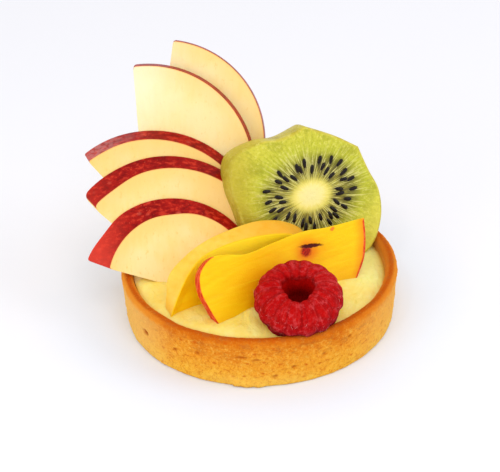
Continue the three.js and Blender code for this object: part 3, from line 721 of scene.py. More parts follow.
# ---------------------------------------------------------------- crust
RIM_START = SHELL_HEIGHT - 2
CRUST_SIDES = 720
CRUST_STEP = 0.34
HIDDEN_STEP = 1.4
SHELL_CURVE_STEPS = 12
LIP_START = (257.4, 258.4)          # degrees over which the lip at the foot begins
LIP_END = (276, 266)
SMALL_PITS = 100
SHELL_TURN = FULL_TURN * SHELL_RADIUS
SHELL_OUTSIDE = [
    (SHELL_FOOT_RADIUS - 0.9, 0.0), (SHELL_FOOT_RADIUS - 0.2, 0.35), (SHELL_FOOT_RADIUS, 1.1),
    (SHELL_FOOT_RADIUS + 0.15, 3.6), (SHELL_FOOT_RADIUS + 0.35, 6.4), (SHELL_FOOT_RADIUS + 0.6, 9.4),
    (SHELL_FOOT_RADIUS + 0.8, 12.2), (SHELL_RADIUS, SHELL_HEIGHT - 1.4),
    (SHELL_RADIUS - 0.5, SHELL_HEIGHT - 0.45), (SHELL_RADIUS - 1.3, SHELL_HEIGHT),
    (SHELL_RADIUS - 2.3, SHELL_HEIGHT - 0.1), (SHELL_INNER_RADIUS + 0.3, SHELL_HEIGHT - 0.9),
    (SHELL_INNER_RADIUS, SHELL_HEIGHT - 2.4),
]
SHELL_INSIDE = [
    SHELL_OUTSIDE[-1], (SHELL_INNER_RADIUS - 0.4, SHELL_FLOOR + 1.2), (SHELL_INNER_RADIUS - 1.3, SHELL_FLOOR),
]


def resample(points, step):
    """The polyline at even steps, both ends kept."""
    points = np.array(points, float)
    lengths = np.concatenate([[0], np.cumsum(np.linalg.norm(np.diff(points, axis=0), axis=1))])
    marks = np.linspace(0, lengths[-1], max(2, int(lengths[-1] / step)))
    return np.column_stack([np.interp(marks, lengths, points[:, k]) for k in range(2)])


def crust_profile():
    curve = np.array(catmull_rom(SHELL_OUTSIDE, False, SHELL_CURVE_STEPS) + [np.array(SHELL_OUTSIDE[-1])])
    under = [(r, 0.0) for r in (3.0, 14.0, 26.0, 34.0)]
    floor = [(r, SHELL_FLOOR) for r in (30.0, 18.0, 3.0)]
    hidden = resample(SHELL_INSIDE, HIDDEN_STEP)[1:]
    return np.concatenate([under, resample(curve, CRUST_STEP), hidden, floor])


def crust_pits():
    """Place round the shell, height, half sizes and depth of every pit, in mm."""
    pits = [(math.radians(angle) * SHELL_RADIUS, *rest) for angle, *rest in SHELL_PITS]
    draw = Draw(77)
    for _ in range(SMALL_PITS):
        size = 0.16 + 0.22 * draw() ** 2
        place, z = FULL_TURN * draw() * SHELL_RADIUS, 1 + 14.2 * draw()
        pits.append((place, z, size * (1 + draw()), size, 0.4 * size + 0.05))
    return pits


def crust_relief(points, angle, height):
    """How far the dough stands out at each point, and how deep in a pit it lies."""
    swell = 0.16 * wave(angle * 7, height * 0.9, 1.1) + 0.1 * wave(angle * 19, height * 1.9, 2.7)
    around = np.degrees(np.mod(angle, FULL_TURN))
    lip = smoothstep(*LIP_START, around) * smoothstep(*LIP_END, around)
    ragged = 0.75 + 0.5 * noise_field(points, 0.6, 1, 4)
    swell += 0.85 * lip * ragged * smoothstep(2.6, 1.2, height)
    grain = 0.12 * noise_field(points, 0.6, 3, 1) + 0.07 * noise_field(points, 1.6, 2, 2)
    pit = np.zeros(len(points))
    arc = np.mod(angle, FULL_TURN) * SHELL_RADIUS
    for place, z, half_width, half_height, depth in crust_pits():
        across = (arc - place + SHELL_TURN / 2) % SHELL_TURN - SHELL_TURN / 2
        shape = np.exp(-((across / half_width) ** 2 + ((height - z) / half_height) ** 2) ** 1.5)
        pit = np.maximum(pit, shape * depth)
    return swell + grain, pit


def make_crust():
    profile = crust_profile()
    along = np.gradient(profile, axis=0)
    along /= np.linalg.norm(along, axis=1)[:, None]
    radius, height, along_r, along_z = np.repeat(np.column_stack([profile, along]), CRUST_SIDES, axis=0).T
    angle = np.tile(circle(CRUST_SIDES), len(profile))
    relief, pit = crust_relief(polar(radius, angle, height), angle, height)
    outer = (radius > SHELL_FOOT_RADIUS - 1.2) & (height > 0.01)
    rim = smoothstep(RIM_START - 1, RIM_START + 1, height) * (radius > SHELL_INNER_RADIUS - 0.2)
    move = np.where(outer, relief - 0.8 * pit, np.where(rim > 0.05, 0.6 * relief, 0))
    radius = radius + move * along_z
    height = height - move * along_r * (height > 0.3)
    height = np.maximum(height + rim * (0.17 * wave(angle * 4, angle * 9, 0.4) - 0.12), 0.0)
    inside = smoothstep(SHELL_INNER_RADIUS + 1.6, SHELL_INNER_RADIUS + 0.2, radius) * (height > 5)
    crest = smoothstep(SHELL_RADIUS - 0.4, SHELL_RADIUS - 1.3, radius) * (height > 13)
    attributes = dict(inside=inside, crest=crest * (1 - inside), pit=np.clip(pit * 1.1, 0, 1) * outer)
    faces = tube_faces(len(profile), CRUST_SIDES)
    piece = make_object("crust_baked", polar(radius, angle, height), faces, None, attributes, sharp_degrees=0)
    finish_piece(piece, "crust", "crust", crust_material())


# ---------------------------------------------------------------- cream
CREAM_RINGS = 90
CREAM_SIDES = 300
CREAM_RADIUS = SHELL_INNER_RADIUS - 0.05
CREAM_UNDERSIDE = [
    (3.0, SHELL_FLOOR + 0.05), (30.0, SHELL_FLOOR + 0.05), (CREAM_RADIUS - 1.6, SHELL_FLOOR + 0.2),
    (CREAM_RADIUS - 0.6, SHELL_FLOOR + 1.8), (CREAM_RADIUS - 0.15, 10.5),
]


def cream_height(x, y):
    angle = np.arctan2(y, x)
    radius = np.hypot(x, y) / SHELL_INNER_RADIUS
    lumps = 0.35 * wave(x * 0.16, y * 0.19, 0.8) + 0.2 * wave(x * 0.41, y * 0.36, 2.1)
    slump = 2.3 * np.maximum(0, np.cos(angle - math.radians(25))) * bump(1 - radius, 0.28)
    front = 0.5 * bump(np.hypot(x + 4, y + 33), 14)
    apple_ridge = 0.6 * bump(np.hypot((x + 27) * 0.5, y + 10.5), 3)
    nectarine_ridge = 0.9 * bump(np.hypot((x + 1.5) * 0.6, y + 24.5), 3.5)
    return CREAM_LEVEL + lumps - slump + front + apple_ridge + nectarine_ridge


def make_cream():
    turns = circle(CREAM_SIDES)
    rings = [polar(radius, turns, z) for radius, z in CREAM_UNDERSIDE]
    for radius in CREAM_RADIUS * np.linspace(1, 0.004, CREAM_RINGS) ** 0.8:
        z = cream_height(radius * np.cos(turns), radius * np.sin(turns))
        rings.append(polar(radius, turns, z - 0.5 * bump(CREAM_RADIUS - radius, 1.5)))
    points = np.concatenate(rings)
    top = points[:, 2] > 11
    points[:, 2] += np.where(top, 0.10 * noise_field(points, 0.22, 3, 6), 0)
    # edge: painted shade along the shell's wall
    edge = smoothstep(CREAM_RADIUS - 1.2, CREAM_RADIUS, np.hypot(points[:, 0], points[:, 1])) * top
    # painted light where the fruit shades the cream at the right rear
    painted_light_rear = smoothstep(24, 30, points[:, 0]) * smoothstep(-14, -4, points[:, 1]) * top
    faces = tube_faces(len(rings), CREAM_SIDES)
    attributes = dict(edge=edge, painted_light_rear=painted_light_rear)
    piece = make_object("cream_custard", points, faces, None, attributes, sharp_degrees=60)
    finish_piece(piece, "cream", "cream", cream_material())


# ---------------------------------------------------------------- apple slices
APPLE_ARC = 150                     # points round the skin
APPLE_CUT = 60                      # points along the cut edge
APPLE_INSETS = (0.0, 0.12, 0.25, 0.45, 0.8, 1.3, 2.0, 3.0, 4.5, 6.5, 9.0, 12.5, 17.0, 40.0)
# painted sheen at each slice's left tip
SHEEN_TIPS = (1.0, 0.35, 1.0, 0.0, 0.0)
# painted light on each slice's flesh
PAINTED_LIGHT_SLICES = (0.0, 0.0, 0.0, 0.8, 0.55)
# painted shade on each slice's right side, then a warmer tone over each whole slice
PAINTED_SHADE_SIDES = (0.2, 0.7, 0.4, 0.3, 0.0)
WARM_ALL = (0.12, 0.25, 0.35, 0.0, 0.0)
# the slice whose skin has the painted reflection
SHEEN_PATCH_SLICE = 2
TIP_REACH = 3.0
TIP_SMOOTHINGS = (2, 8, 1, 1, 1)
TIP_WRAP = 0.9                      # how far the skin wraps round a tip


def flat_reach(angles, radius, flat):
    """The radius at each angle, less at the slice's flat side: (its degrees, its depth)."""
    return radius - flat[1] * bump(angles - math.radians(flat[0]), math.radians(APPLE_FLAT_SPREAD))


def half_disc(centre, radius, cut_degrees, rise, drop, flat, smoothings):
    """The outline of a half slice, its skin first and then its cut edge, with softened tips."""
    start = math.radians(cut_degrees) - math.asin(rise / radius)
    end = math.radians(cut_degrees) + math.pi + math.asin(rise / radius)
    angles = np.linspace(start, end, APPLE_ARC)
    reach = flat_reach(angles, radius, flat)
    y = np.sin(angles) * reach
    arc = np.column_stack([centre[0] + np.cos(angles) * reach, centre[1] + np.where(y < 0, y * drop, y)])
    share = np.linspace(0, 1, APPLE_CUT + 2)[1:-1, None]
    sharp = np.concatenate([arc, arc[-1] + (arc[0] - arc[-1]) * share])
    soft = sharp
    for _ in range(smoothings):
        soft = 0.5 * soft + 0.25 * (np.roll(soft, 1, axis=0) + np.roll(soft, -1, axis=0))
    away = np.minimum(*(np.linalg.norm(sharp - tip, axis=1) for tip in (arc[0], arc[-1])))
    return sharp + (soft - sharp) * smoothstep(TIP_REACH, 0.3 * TIP_REACH, away)[:, None]


def apple_pose(apple, number):
    face = APPLE_FIRST_FACE - number * APPLE_PITCH
    lean = math.radians(APPLE_LEAN)
    y = (math.sin(lean) * apple["z"] - face) / math.cos(lean)
    return dict(at=(apple["x"], y, apple["z"]), turn=0.0, lean=APPLE_LEAN)


def cut_below(piece, height_mm):
    """Cuts the piece off flat at a height inside the cream and closes the cut."""
    mesh = bmesh.new()
    mesh.from_mesh(piece.data)
    result = bmesh.ops.bisect_plane(
        mesh, geom=mesh.verts[:] + mesh.edges[:] + mesh.faces[:], plane_co=(0, 0, height_mm * MM),
        plane_no=(0, 0, -1), clear_outer=True,
    )
    edges = [item for item in result["geom_cut"] if isinstance(item, bmesh.types.BMEdge)]
    if edges:
        bmesh.ops.edgeloop_fill(mesh, edges=edges)
    mesh.to_mesh(piece.data)
    mesh.free()


def apple_layers(apple, smoothings):
    shift_x, shift_y = apple["shift"]
    cut = math.radians(apple["cut"])
    back_rise = apple["rise"] + shift_y * math.cos(cut) - shift_x * math.sin(cut)
    shape = dict(cut_degrees=apple["cut"], drop=apple["drop"], smoothings=smoothings)
    face = half_disc((0, 0), apple["face"], rise=apple["rise"], flat=apple["face_flat"], **shape)
    back = half_disc((shift_x, shift_y), apple["back"], rise=back_rise, flat=apple["back_flat"], **shape)
    along = np.array([math.cos(cut), math.sin(cut)])
    above = np.array([-math.sin(cut), math.cos(cut)])
    middle = above * (apple["face"] * 0.40 - apple["rise"])
    spine = (middle - along * apple["face"] * 0.45, middle + along * apple["face"] * 0.45)
    return slab_layers(face, back, spine, APPLE_THICKNESS, APPLE_INSETS,
                       wall_rings=12, rounding=0.12, crown=0.10)


def apple_peel(apple, vertices, where, layers):
    """How far each point lies in from the skin, mm: 0 on the skin itself."""
    shift_x, shift_y = apple["shift"]
    depth = -vertices[:, 2] / APPLE_THICKNESS
    radius = apple["face"] + (apple["back"] - apple["face"]) * depth
    dx, dy = vertices[:, 0] - shift_x * depth, vertices[:, 1] - shift_y * depth
    dy = np.where(dy < 0, dy / apple["drop"], dy)
    around = np.mod(np.arctan2(dy, dx) + 0.5 * math.pi, FULL_TURN) - 0.5 * math.pi
    face_flat, back_flat = (flat_reach(around, 0, apple[side]) for side in ("face_flat", "back_flat"))
    peel = radius + (face_flat * (1 - depth) + back_flat * depth) - np.hypot(dx, dy)
    on_arc = np.tile(np.arange(APPLE_ARC + APPLE_CUT) < APPLE_ARC, len(layers))
    on_wall = np.where(on_arc, 0, np.maximum(peel - TIP_WRAP, 0))
    return np.where(where == WALL, on_wall, peel)


def make_apple(number, material):
    apple = APPLE_SLICES[number]
    layers = apple_layers(apple, TIP_SMOOTHINGS[number])
    vertices, faces, where = slab_mesh(layers)
    peel = apple_peel(apple, vertices, where, layers)
    x, y = vertices[:, 0], vertices[:, 1]
    attributes = dict(
        peel=np.maximum(peel, 0),
        # painted sheen towards the left tip
        pale=smoothstep(-12, -25, x) * SHEEN_TIPS[number],
        # painted reflection on the third slice's skin
        painted_sheen_patch=bump(x + 15, 9) * (number == SHEEN_PATCH_SLICE),
        # painted light: paler towards the upper left of the face
        painted_light_face=(0.2 + 0.8 * smoothstep(14, -4, x) * smoothstep(4, 24, y)) * PAINTED_LIGHT_SLICES[number],
        # painted shade towards the right side
        warm=smoothstep(-2, 22, x) * PAINTED_SHADE_SIDES[number] + WARM_ALL[number],
    )
    undulation = 0.07 * noise_field(vertices, 0.16, 2, 10 + number) * smoothstep(0.3, 3.0, peel)
    vertices[:, 2] += np.where(where == WALL, 0, undulation)
    attributes["local"] = vertices + np.array([37.0 * number, 11.0 * number, 0])
    name = f"apple_slice_{number + 1}"
    pose = slice_matrix(**apple_pose(apple, number))
    piece = make_object(f"{name}_fresh", vertices, faces, pose, attributes, sharp_degrees=48)
    cut_below(piece, SLICE_FOOT)
    finish_piece(piece, name, "apple", material)


# ---------------------------------------------------------------- kiwi slice
KIWI_SIDES = 420
KIWI_CURVE_STEPS = 24
KIWI_RINGS = 74
KIWI_WALL_STEPS = 15
KIWI_MIDDLE = 0.012                 # the innermost ring's share of the way out
KIWI_ROUNDING = 0.9
SEED_ROWS = ((8.2, 2.2), (11.0, 2.6))
SEED_OVAL = (1.1, 0.8)
SEED_UNEVEN = 0.9
SEED_ASKEW = 0.6
SEED_RINGS = 11
SEED_SIDES = 14
SEED_SUNK = 0.10


def kiwi_seed_places(draw, count):
    """Place, angle and half length of each seed."""
    places = []
    for i in range(count):
        angle = FULL_TURN * (i + SEED_UNEVEN * (draw() - 0.5)) / count
        least, spread = SEED_ROWS[i % 2]
        reach = least + spread * draw()
        askew = SEED_ASKEW * (draw() - 0.5)
        length = SEED_HALF_LENGTH + 0.3 * draw()
        x, y = SEED_OVAL[0] * reach * math.cos(angle), SEED_OVAL[1] * reach * math.sin(angle)
        places.append((x, y, angle + askew, length))
    return places


def kiwi_radius(angles):
    """Distance from the core to the pared edge, with its blunt corners, for each angle."""
    points = [(r * math.cos(math.radians(a)), r * math.sin(math.radians(a))) for a, r in KIWI_OUTLINE]
    curve, _ = smooth_outline(points, KIWI_CORNERS, KIWI_CURVE_STEPS)
    around = np.mod(np.arctan2(curve[:, 1], curve[:, 0]), FULL_TURN)
    order = np.argsort(around)
    reach = np.hypot(curve[:, 0], curve[:, 1])[order]
    return np.interp(np.mod(angles, FULL_TURN), around[order], reach, period=FULL_TURN)


def kiwi_layers(turns):
    """Rings of points from the middle of the face over the pared edge to the middle of the back,
    each with its depth below the face and its share of the way out from the core."""
    edge = kiwi_radius(turns)
    outline = polar(edge, turns, 0)[:, :2]

    def rounded(step):
        """The ring and its depth at a step of the way round an edge, 0 at the face or the back."""
        angle = step * math.pi / 2
        ring = outline * (1 - KIWI_ROUNDING * (1 - math.sin(angle)) / edge[:, None])
        return ring, KIWI_ROUNDING * (1 - math.cos(angle))

    rim = rounded(0)[0]
    shares = np.linspace(KIWI_MIDDLE, 1, KIWI_RINGS)
    layers = [(rim * share, 0.0, share) for share in shares]
    layers += [(*rounded(step), 1.0) for step in (*ROUND_STEPS, 1.0)]
    for step in np.linspace(0, 1, KIWI_WALL_STEPS + 1)[1:]:
        depth = KIWI_ROUNDING + (KIWI_THICKNESS - 2 * KIWI_ROUNDING) * step
        layers.append((outline * (1 + 0.012 * math.sin(math.pi * step)), depth, 1.0))
    for step in (*ROUND_STEPS[::-1], 0.0):
        ring, depth = rounded(step)
        layers.append((ring, KIWI_THICKNESS - depth, 1.0))
    return layers + [(rim * share, KIWI_THICKNESS, share) for share in shares[-2::-1]]


def seed_points(place, z):
    """A teardrop lying along its ray, its blunt end outwards."""
    x, y, angle, half_length = place
    turns = circle(SEED_SIDES)
    rings = [[(-half_length, 0, 0)]]
    for turn in np.arange(1, SEED_RINGS + 1) * math.pi / (SEED_RINGS + 1):
        along = -math.cos(turn)
        width = math.sin(turn) ** 0.8 * (0.86 + 0.14 * along)
        across, up = SEED_HALF_WIDTH * width * np.cos(turns), SEED_HALF_DEPTH * width * np.sin(turns)
        rings.append(np.column_stack([np.full(SEED_SIDES, half_length * along), across, up]))
    along, across, up = np.concatenate(rings + [[(half_length, 0, 0)]]).T
    c, s = math.cos(angle), math.sin(angle)
    return np.column_stack([x + along * c - across * s, y + along * s + across * c, z + up])


def seed_spot(points, place, shift, longer, half_width):
    """1 on a seed and 0 away from it."""
    x, y, angle, half_length = place
    dx, dy = points[:, 0] - x, points[:, 1] - y
    along = dx * math.cos(angle) + dy * math.sin(angle) + shift
    across = dy * math.cos(angle) - dx * math.sin(angle)
    return np.exp(-(along / (half_length + longer)) ** 4 - (across / half_width) ** 2)


def make_kiwi(draw):
    front_seeds = kiwi_seed_places(draw, KIWI_SEEDS_FRONT)
    back_seeds = kiwi_seed_places(draw, KIWI_SEEDS_BACK)
    turns = circle(KIWI_SIDES)
    vertices, faces, share = slab_mesh(kiwi_layers(turns))
    ray = np.tile(turns, len(vertices) // KIWI_SIDES)
    front = vertices[:, 2] > -1e-6
    back = vertices[:, 2] < -KIWI_THICKNESS + 1e-6
    reach = np.hypot(vertices[:, 0] / SEED_OVAL[0], vertices[:, 1] / SEED_OVAL[1])
    halo, dent = np.zeros(len(vertices)), np.zeros(len(vertices))
    for seeds, face in ((front_seeds, front), (back_seeds, back)):
        flat = vertices[face]
        for place in seeds:
            halo[face] = np.maximum(halo[face], seed_spot(flat, place, 0.3, 0.5, 0.85))
            dent[face] = np.maximum(dent[face], seed_spot(flat, place, 0.0, 0.2, 0.75))

    folds = noise_field(np.column_stack([np.cos(ray) * 5, np.sin(ray) * 5, share * 1.2]), 1.3, 2, 3)
    pulp = smoothstep(0.3, 0.45, share) * (1 - smoothstep(0.85, 1.0, share))
    relief = 0.14 * folds * pulp + 0.25 * (1 - smoothstep(4.0, 8.0, reach)) - 0.10 * dent
    vertices[:, 2] += np.where(front, relief, np.where(back, -relief, 0))

    points, body_faces = [tuple(v) for v in vertices], len(faces)
    pattern = spindle_faces(SEED_RINGS, SEED_SIDES)
    for seeds, z in ((front_seeds, -SEED_SUNK), (back_seeds, SEED_SUNK - KIWI_THICKNESS)):
        for place in seeds:
            start = len(points)
            points.extend(seed_points(place, z))
            faces.extend(tuple(start + i for i in face) for face in pattern)
    wall = (~front & ~back).astype(float)
    attributes = padded(dict(ray=ray, wall=wall, halo=halo, reach=reach), len(points) - len(vertices))
    attributes["local"] = np.array(points)
    pose = slice_matrix(**KIWI_POSE)
    piece = make_object("kiwi_slice_fresh", points, faces, pose, attributes, sharp_degrees=0)
    materials = kiwi_material(), seed_material()
    finish_piece(piece, "kiwi_slice", "kiwi", *materials, second_from=body_faces)


# ---------------------------------------------------------------- nectarine slices
NECTARINE_INSETS = (0.0, 0.15, 0.35, 0.6, 0.9, 1.3, 1.8, 2.4, 3.1, 3.9, 4.8, 5.8, 7.0, 30.0)
NECTARINE_FRONT_STEPS, NECTARINE_BACK_STEPS = 26, 34
NECTARINE_FRONT_SPINE = ((8.0, 8.2), (44.0, 6.6))
NECTARINE_BACK_SPINE = ((12.0, 4.0), (38.0, 4.0))
LEFT_END = 4.2                      # the place along the outline where the left skin ends
NECTARINE_SHARES = ("glow", "band", "warm", "lit", "peel")
HOLLOW_REACH = 3.0                  # mm from a face's edge to where its hollow is at full depth


def ring_gaps(layers, outline, measure):
    """How far each point's ring lies in from the outline, mm; 0 on the wall."""
    gaps = [measure(np.linalg.norm(ring - outline, axis=1)) * (mark != WALL) for ring, _, mark in layers]
    return np.repeat(gaps, len(outline))


def finish_nectarine(side, vertices, faces, pose, shift, sharp_degrees, **shares):
    """Makes one slice. A share that isn't given is nowhere on it."""
    nowhere = dict.fromkeys(NECTARINE_SHARES, np.zeros(len(vertices)))
    attributes = dict(nowhere, local=vertices + np.array(shift), **shares)
    name = f"nectarine_{side}"
    piece = make_object(f"{name}_fresh", vertices, faces, slice_matrix(**pose), attributes, sharp_degrees)
    material = nectarine_material(name, marked=side == "front")
    finish_piece(piece, f"nectarine_slice_{side}", "nectarine", material)


def make_nectarine_back():
    face, _ = smooth_outline(NECTARINE_BACK_FACE, NECTARINE_BACK_CORNERS, NECTARINE_BACK_STEPS)
    outer, _ = smooth_outline(NECTARINE_BACK_OUTER, NECTARINE_BACK_CORNERS, NECTARINE_BACK_STEPS)
    layers = slab_layers(face, outer, NECTARINE_BACK_SPINE, NECTARINE_BACK_THICKNESS, NECTARINE_INSETS,
                         wall_rings=14, rounding=0.3, crown=0.25)
    vertices, faces, where = slab_mesh(layers)
    x, y = vertices[:, 0], vertices[:, 1]
    inner = np.minimum(1, ring_gaps(layers, face, np.max) / HOLLOW_REACH)
    scoop = 0.8 * bump(y - 4, 8) + 0.1 * noise_field(vertices, 0.14, 2, 37)
    vertices[:, 2] -= np.where(where == FACE, inner * scoop, 0)
    band = np.maximum((where == WALL) * smoothstep(0.0, 0.6, -vertices[:, 2]), (where == BACK) * 0.8)
    # painted light where the front slice shades this face
    lit = smoothstep(3, 12, y) * smoothstep(4, 16, x) * (where == FACE)
    finish_nectarine("back", vertices, faces, NECTARINE_BACK_POSE, (90.0, 40.0, 0), 60,
                     band=band, warm=0.6 * smoothstep(16, 38, x), lit=lit)


def make_nectarine_front():
    outline, places = smooth_outline(NECTARINE_FRONT_OUTLINE, NECTARINE_FRONT_CORNERS, NECTARINE_FRONT_STEPS)
    back = inset_outline(outline, NECTARINE_FRONT_SPINE, NECTARINE_FRONT_UNDERCUT)
    layers = slab_layers(outline, back, NECTARINE_FRONT_SPINE, NECTARINE_FRONT_THICKNESS, NECTARINE_INSETS,
                         wall_rings=10, rounding=0.15, crown=0.05)
    vertices, faces, where = slab_mesh(layers)
    x, y = vertices[:, 0], vertices[:, 1]
    inner = np.minimum(1, ring_gaps(layers, outline, np.max) / HOLLOW_REACH)
    hollow = 0.5 * bump(y - 7, 7) * bump(x - 22, 22) - 0.10 * noise_field(vertices, 0.14, 2, 31)
    vertices[:, 2] -= np.where(where == FACE, inner * hollow, 0)

    _, right_end, right_foot = NECTARINE_FRONT_CORNERS
    place = np.tile(places, len(layers))
    left = (place > 0) & (place < LEFT_END)
    right = (place > right_end) & (place < right_foot)
    end_x, end_y = np.array(NECTARINE_FRONT_OUTLINE[right_foot:right_end - 1:-1]).T
    from_end = np.interp(y, end_y, end_x) - x
    at_edge = np.clip(1 - (ring_gaps(layers, outline, np.mean) - 0.12) / 0.3, 0, 1)
    peel = np.where(left | right, np.maximum(at_edge, smoothstep(0.9, 0.35, from_end)), 0)
    # real orange near the skin and stone, painted shade near the cream and the raspberry
    glow = np.max([
        0.8 * smoothstep(40, 54, x) * smoothstep(5, -4, y),         # the right foot
        # painted shade along the cream:
        0.25 * smoothstep(5.0, -1.5, y),                            # along the cream
        # painted shade, with the raspberry's red light painted in:
        bump(np.hypot((x - 19.5) / 1.3, y - 3.5), 7),               # behind the raspberry
        0.8 * bump(np.hypot((x - 33.5) / 1.3, y - 10.4), 3.6),      # round the stone's mark
        0.6 * smoothstep(4.5, 0.5, from_end),                       # along the skin
    ], axis=0)
    finish_nectarine("front", vertices, faces, NECTARINE_FRONT_POSE, (0, 0, 0), 45, peel=peel, glow=glow)


# ---------------------------------------------------------------- raspberry
BERRY_CORE_SIDES = 64
BERRY_VOXEL = 0.21
BERRY_SOFTENINGS = 26
BERRY_SHOULDER = 7.5                # the outline is made more even outside this radius
BERRY_EVENING = 0.5
BERRY_LOWEST = -12
LEVELS_PER_MM = 2
LEVELS = 48
HOLE_CORNERS = 0.55
HAIRS = 110
HAIR_STEPS = 6
HAIR_HALF_WIDTH = 0.025
HAIR_SECTION = ((1, -0.5), (-1, -0.5), (0, 1))


def berry_matrix():
    tilt = Matrix.Rotation(math.radians(RASPBERRY_POSE["tilt"]), 4, "X")
    return Matrix.Scale(MM, 4) @ Matrix.Translation(RASPBERRY_POSE["at"]) @ tilt


def drupelets(draw):
    """From a unit ball to each drupelet, in the berry's own frame in mm."""
    matrices = []
    for level, row in enumerate(DRUPELET_ROWS):
        for i in range(row["count"]):
            angle = FULL_TURN * (i + 0.5 * (level % 2) + 0.25 * (draw() - 0.5)) / row["count"]
            swell = 0.94 + 0.12 * draw()
            z = row["z"] + 0.5 * (draw() - 0.5)
            turn = Matrix.Rotation(angle, 4, "Z")
            droop = Matrix.Rotation(math.radians(row["droop"]), 4, "Y")
            size = Matrix.Diagonal((*(half * swell for half in row["size"]), 1))
            matrices.append(turn @ Matrix.Translation((row["radius"], 0, z)) @ droop @ size)
    return matrices


def joined_berry(matrices):
    """One soft skin round the drupelets and their core, as a mesh in metres."""
    balls = bmesh.new()
    for matrix in matrices:
        bmesh.ops.create_icosphere(balls, subdivisions=4, radius=1, matrix=matrix)
    rough = bpy.data.meshes.new("raspberry_rough")
    balls.to_mesh(rough)
    balls.free()
    (_, bottom), *rings, (_, top) = BERRY_CORE
    core = [polar(radius, circle(BERRY_CORE_SIDES), z) for radius, z in rings]
    start = len(rough.vertices)
    points = np.concatenate([[v.co for v in rough.vertices], [(0, 0, bottom)], *core, [(0, 0, top)]])
    faces = [tuple(polygon.vertices) for polygon in rough.polygons]
    faces += [tuple(start + i for i in face) for face in spindle_faces(len(rings), BERRY_CORE_SIDES)]
    bpy.data.meshes.remove(rough)
    lump = make_object("raspberry_lump", points, faces, sharp_degrees=0)
    remesh = lump.modifiers.new("join", "REMESH")
    remesh.mode, remesh.voxel_size = "VOXEL", BERRY_VOXEL * MM
    smooth = lump.modifiers.new("soften", "SMOOTH")
    smooth.factor, smooth.iterations = 0.5, BERRY_SOFTENINGS
    joined = bpy.data.meshes.new_from_object(lump.evaluated_get(bpy.context.evaluated_depsgraph_get()))
    bpy.data.objects.remove(lump)
    return joined


def crease_distance(places, matrices):
    """0 in the crease between two drupelets, more towards the middle of one, up to 1."""
    nearest, second = np.full((2, len(places)), 9.0)
    for matrix in matrices:
        inverse = np.array(matrix.inverted())
        distance = np.linalg.norm(places @ inverse[:3, :3].T + inverse[:3, 3], axis=1)
        second = np.minimum(second, np.maximum(nearest, distance))
        nearest = np.minimum(nearest, distance)
    return np.clip(second - nearest, 0, 1)


def berry_body(places, normals, radius, heading, around):
    """The berry's points with folds in its skin, a more even outline and three corners to its hole."""
    z = places[:, 2]
    folds = noise_field(around, 0.45, 2, 51) + 0.6 * noise_field(places, 0.5, 2, 53)
    body = places + normals * (0.22 * folds * smoothstep(4.4, 6.0, radius))[:, None]
    outer = radius > BERRY_SHOULDER
    level = ((z - BERRY_LOWEST) * LEVELS_PER_MM).astype(int)[outer]
    usual = np.bincount(level, radius[outer], LEVELS) / np.maximum(np.bincount(level, minlength=LEVELS), 1)
    level_heights = (np.arange(LEVELS) + 0.5) / LEVELS_PER_MM + BERRY_LOWEST
    gap = np.interp(z, level_heights, usual) - radius
    outward = BERRY_EVENING * gap * smoothstep(BERRY_SHOULDER, BERRY_SHOULDER + 2, radius)
    corner = np.cos(3 * (np.arctan2(places[:, 1], places[:, 0]) + 0.5 * math.pi))
    outward += HOLE_CORNERS * corner * bump(radius - RASPBERRY_HOLE, 1.6) * smoothstep(-5.0, 0.0, z)
    body[:, :2] += heading * outward[:, None]
    return body


def berry_hairs(body, normals, radius):
    """Fine pale hairs that lie over the outside of the berry; faces are numbered on from the body."""
    draw = Draw(91)
    outside = np.flatnonzero((radius > 10.0) & (body[:, 2] > -7) & (body[:, 2] < 3))
    points, faces = [], []
    for _ in range(HAIRS):
        root = outside[int(draw() * len(outside))]
        normal = Vector(normals[root])
        along = normal.cross(Vector((draw() - 0.5, draw() - 0.5, draw() - 0.5))).normalized()
        across = normal.cross(along)
        length = 0.5 + 0.9 * draw()
        start = len(body) + len(points)
        for step in range(HAIR_STEPS):
            share = step / (HAIR_STEPS - 1)
            rise = normal * (0.45 * share * (1.4 - share)) - normal * 0.05
            middle = Vector(body[root]) + (along * share + rise) * length
            width = HAIR_HALF_WIDTH * (1 - 0.6 * share)
            points.extend(middle + across * width * a + normal * width * b for a, b in HAIR_SECTION)
        faces.extend(tuple(start + i for i in face) for face in tube_faces(HAIR_STEPS, 3))
    return np.array(points), faces


def make_raspberry(draw):
    matrices = drupelets(draw)
    joined = joined_berry(matrices)
    places = np.array([vertex.co for vertex in joined.vertices]) / MM
    normals = np.array([normal.vector for normal in joined.vertex_normals])
    faces = [tuple(polygon.vertices) for polygon in joined.polygons]
    bpy.data.meshes.remove(joined)

    z, radius = places[:, 2], np.hypot(places[:, 0], places[:, 1])
    heading = places[:, :2] / np.maximum(radius, 0.1)[:, None]
    around = np.column_stack([heading * 11.0, z * 0.25 + radius * 0.12])
    body = berry_body(places, normals, radius, heading, around)
    hairs, hair_faces = berry_hairs(body, normals, radius)
    in_hole = smoothstep(5.6, 4.2, radius)
    attributes = dict(
        # crease: painted shade between drupelets
        crease=crease_distance(places, matrices), around=around,
        inside=in_hole * smoothstep(4.6, 1.5, z) * (z > -6),
        # deep: painted shade towards the bottom of the hole
        deep=in_hole * smoothstep(4.0, -2.5, z),
        low=smoothstep(2.6, -1.6, z + 0.9 * noise_field(places, 0.35, 2, 57)) * (radius > 8),
    )
    points, attributes = np.concatenate([body, hairs]), padded(attributes, len(hairs))
    all_faces = faces + hair_faces
    piece = make_object("raspberry_fresh", points, all_faces, berry_matrix(), attributes, sharp_degrees=0)
    materials = raspberry_material(), hair_material()
    finish_piece(piece, "raspberry", "raspberry", *materials, second_from=len(faces))


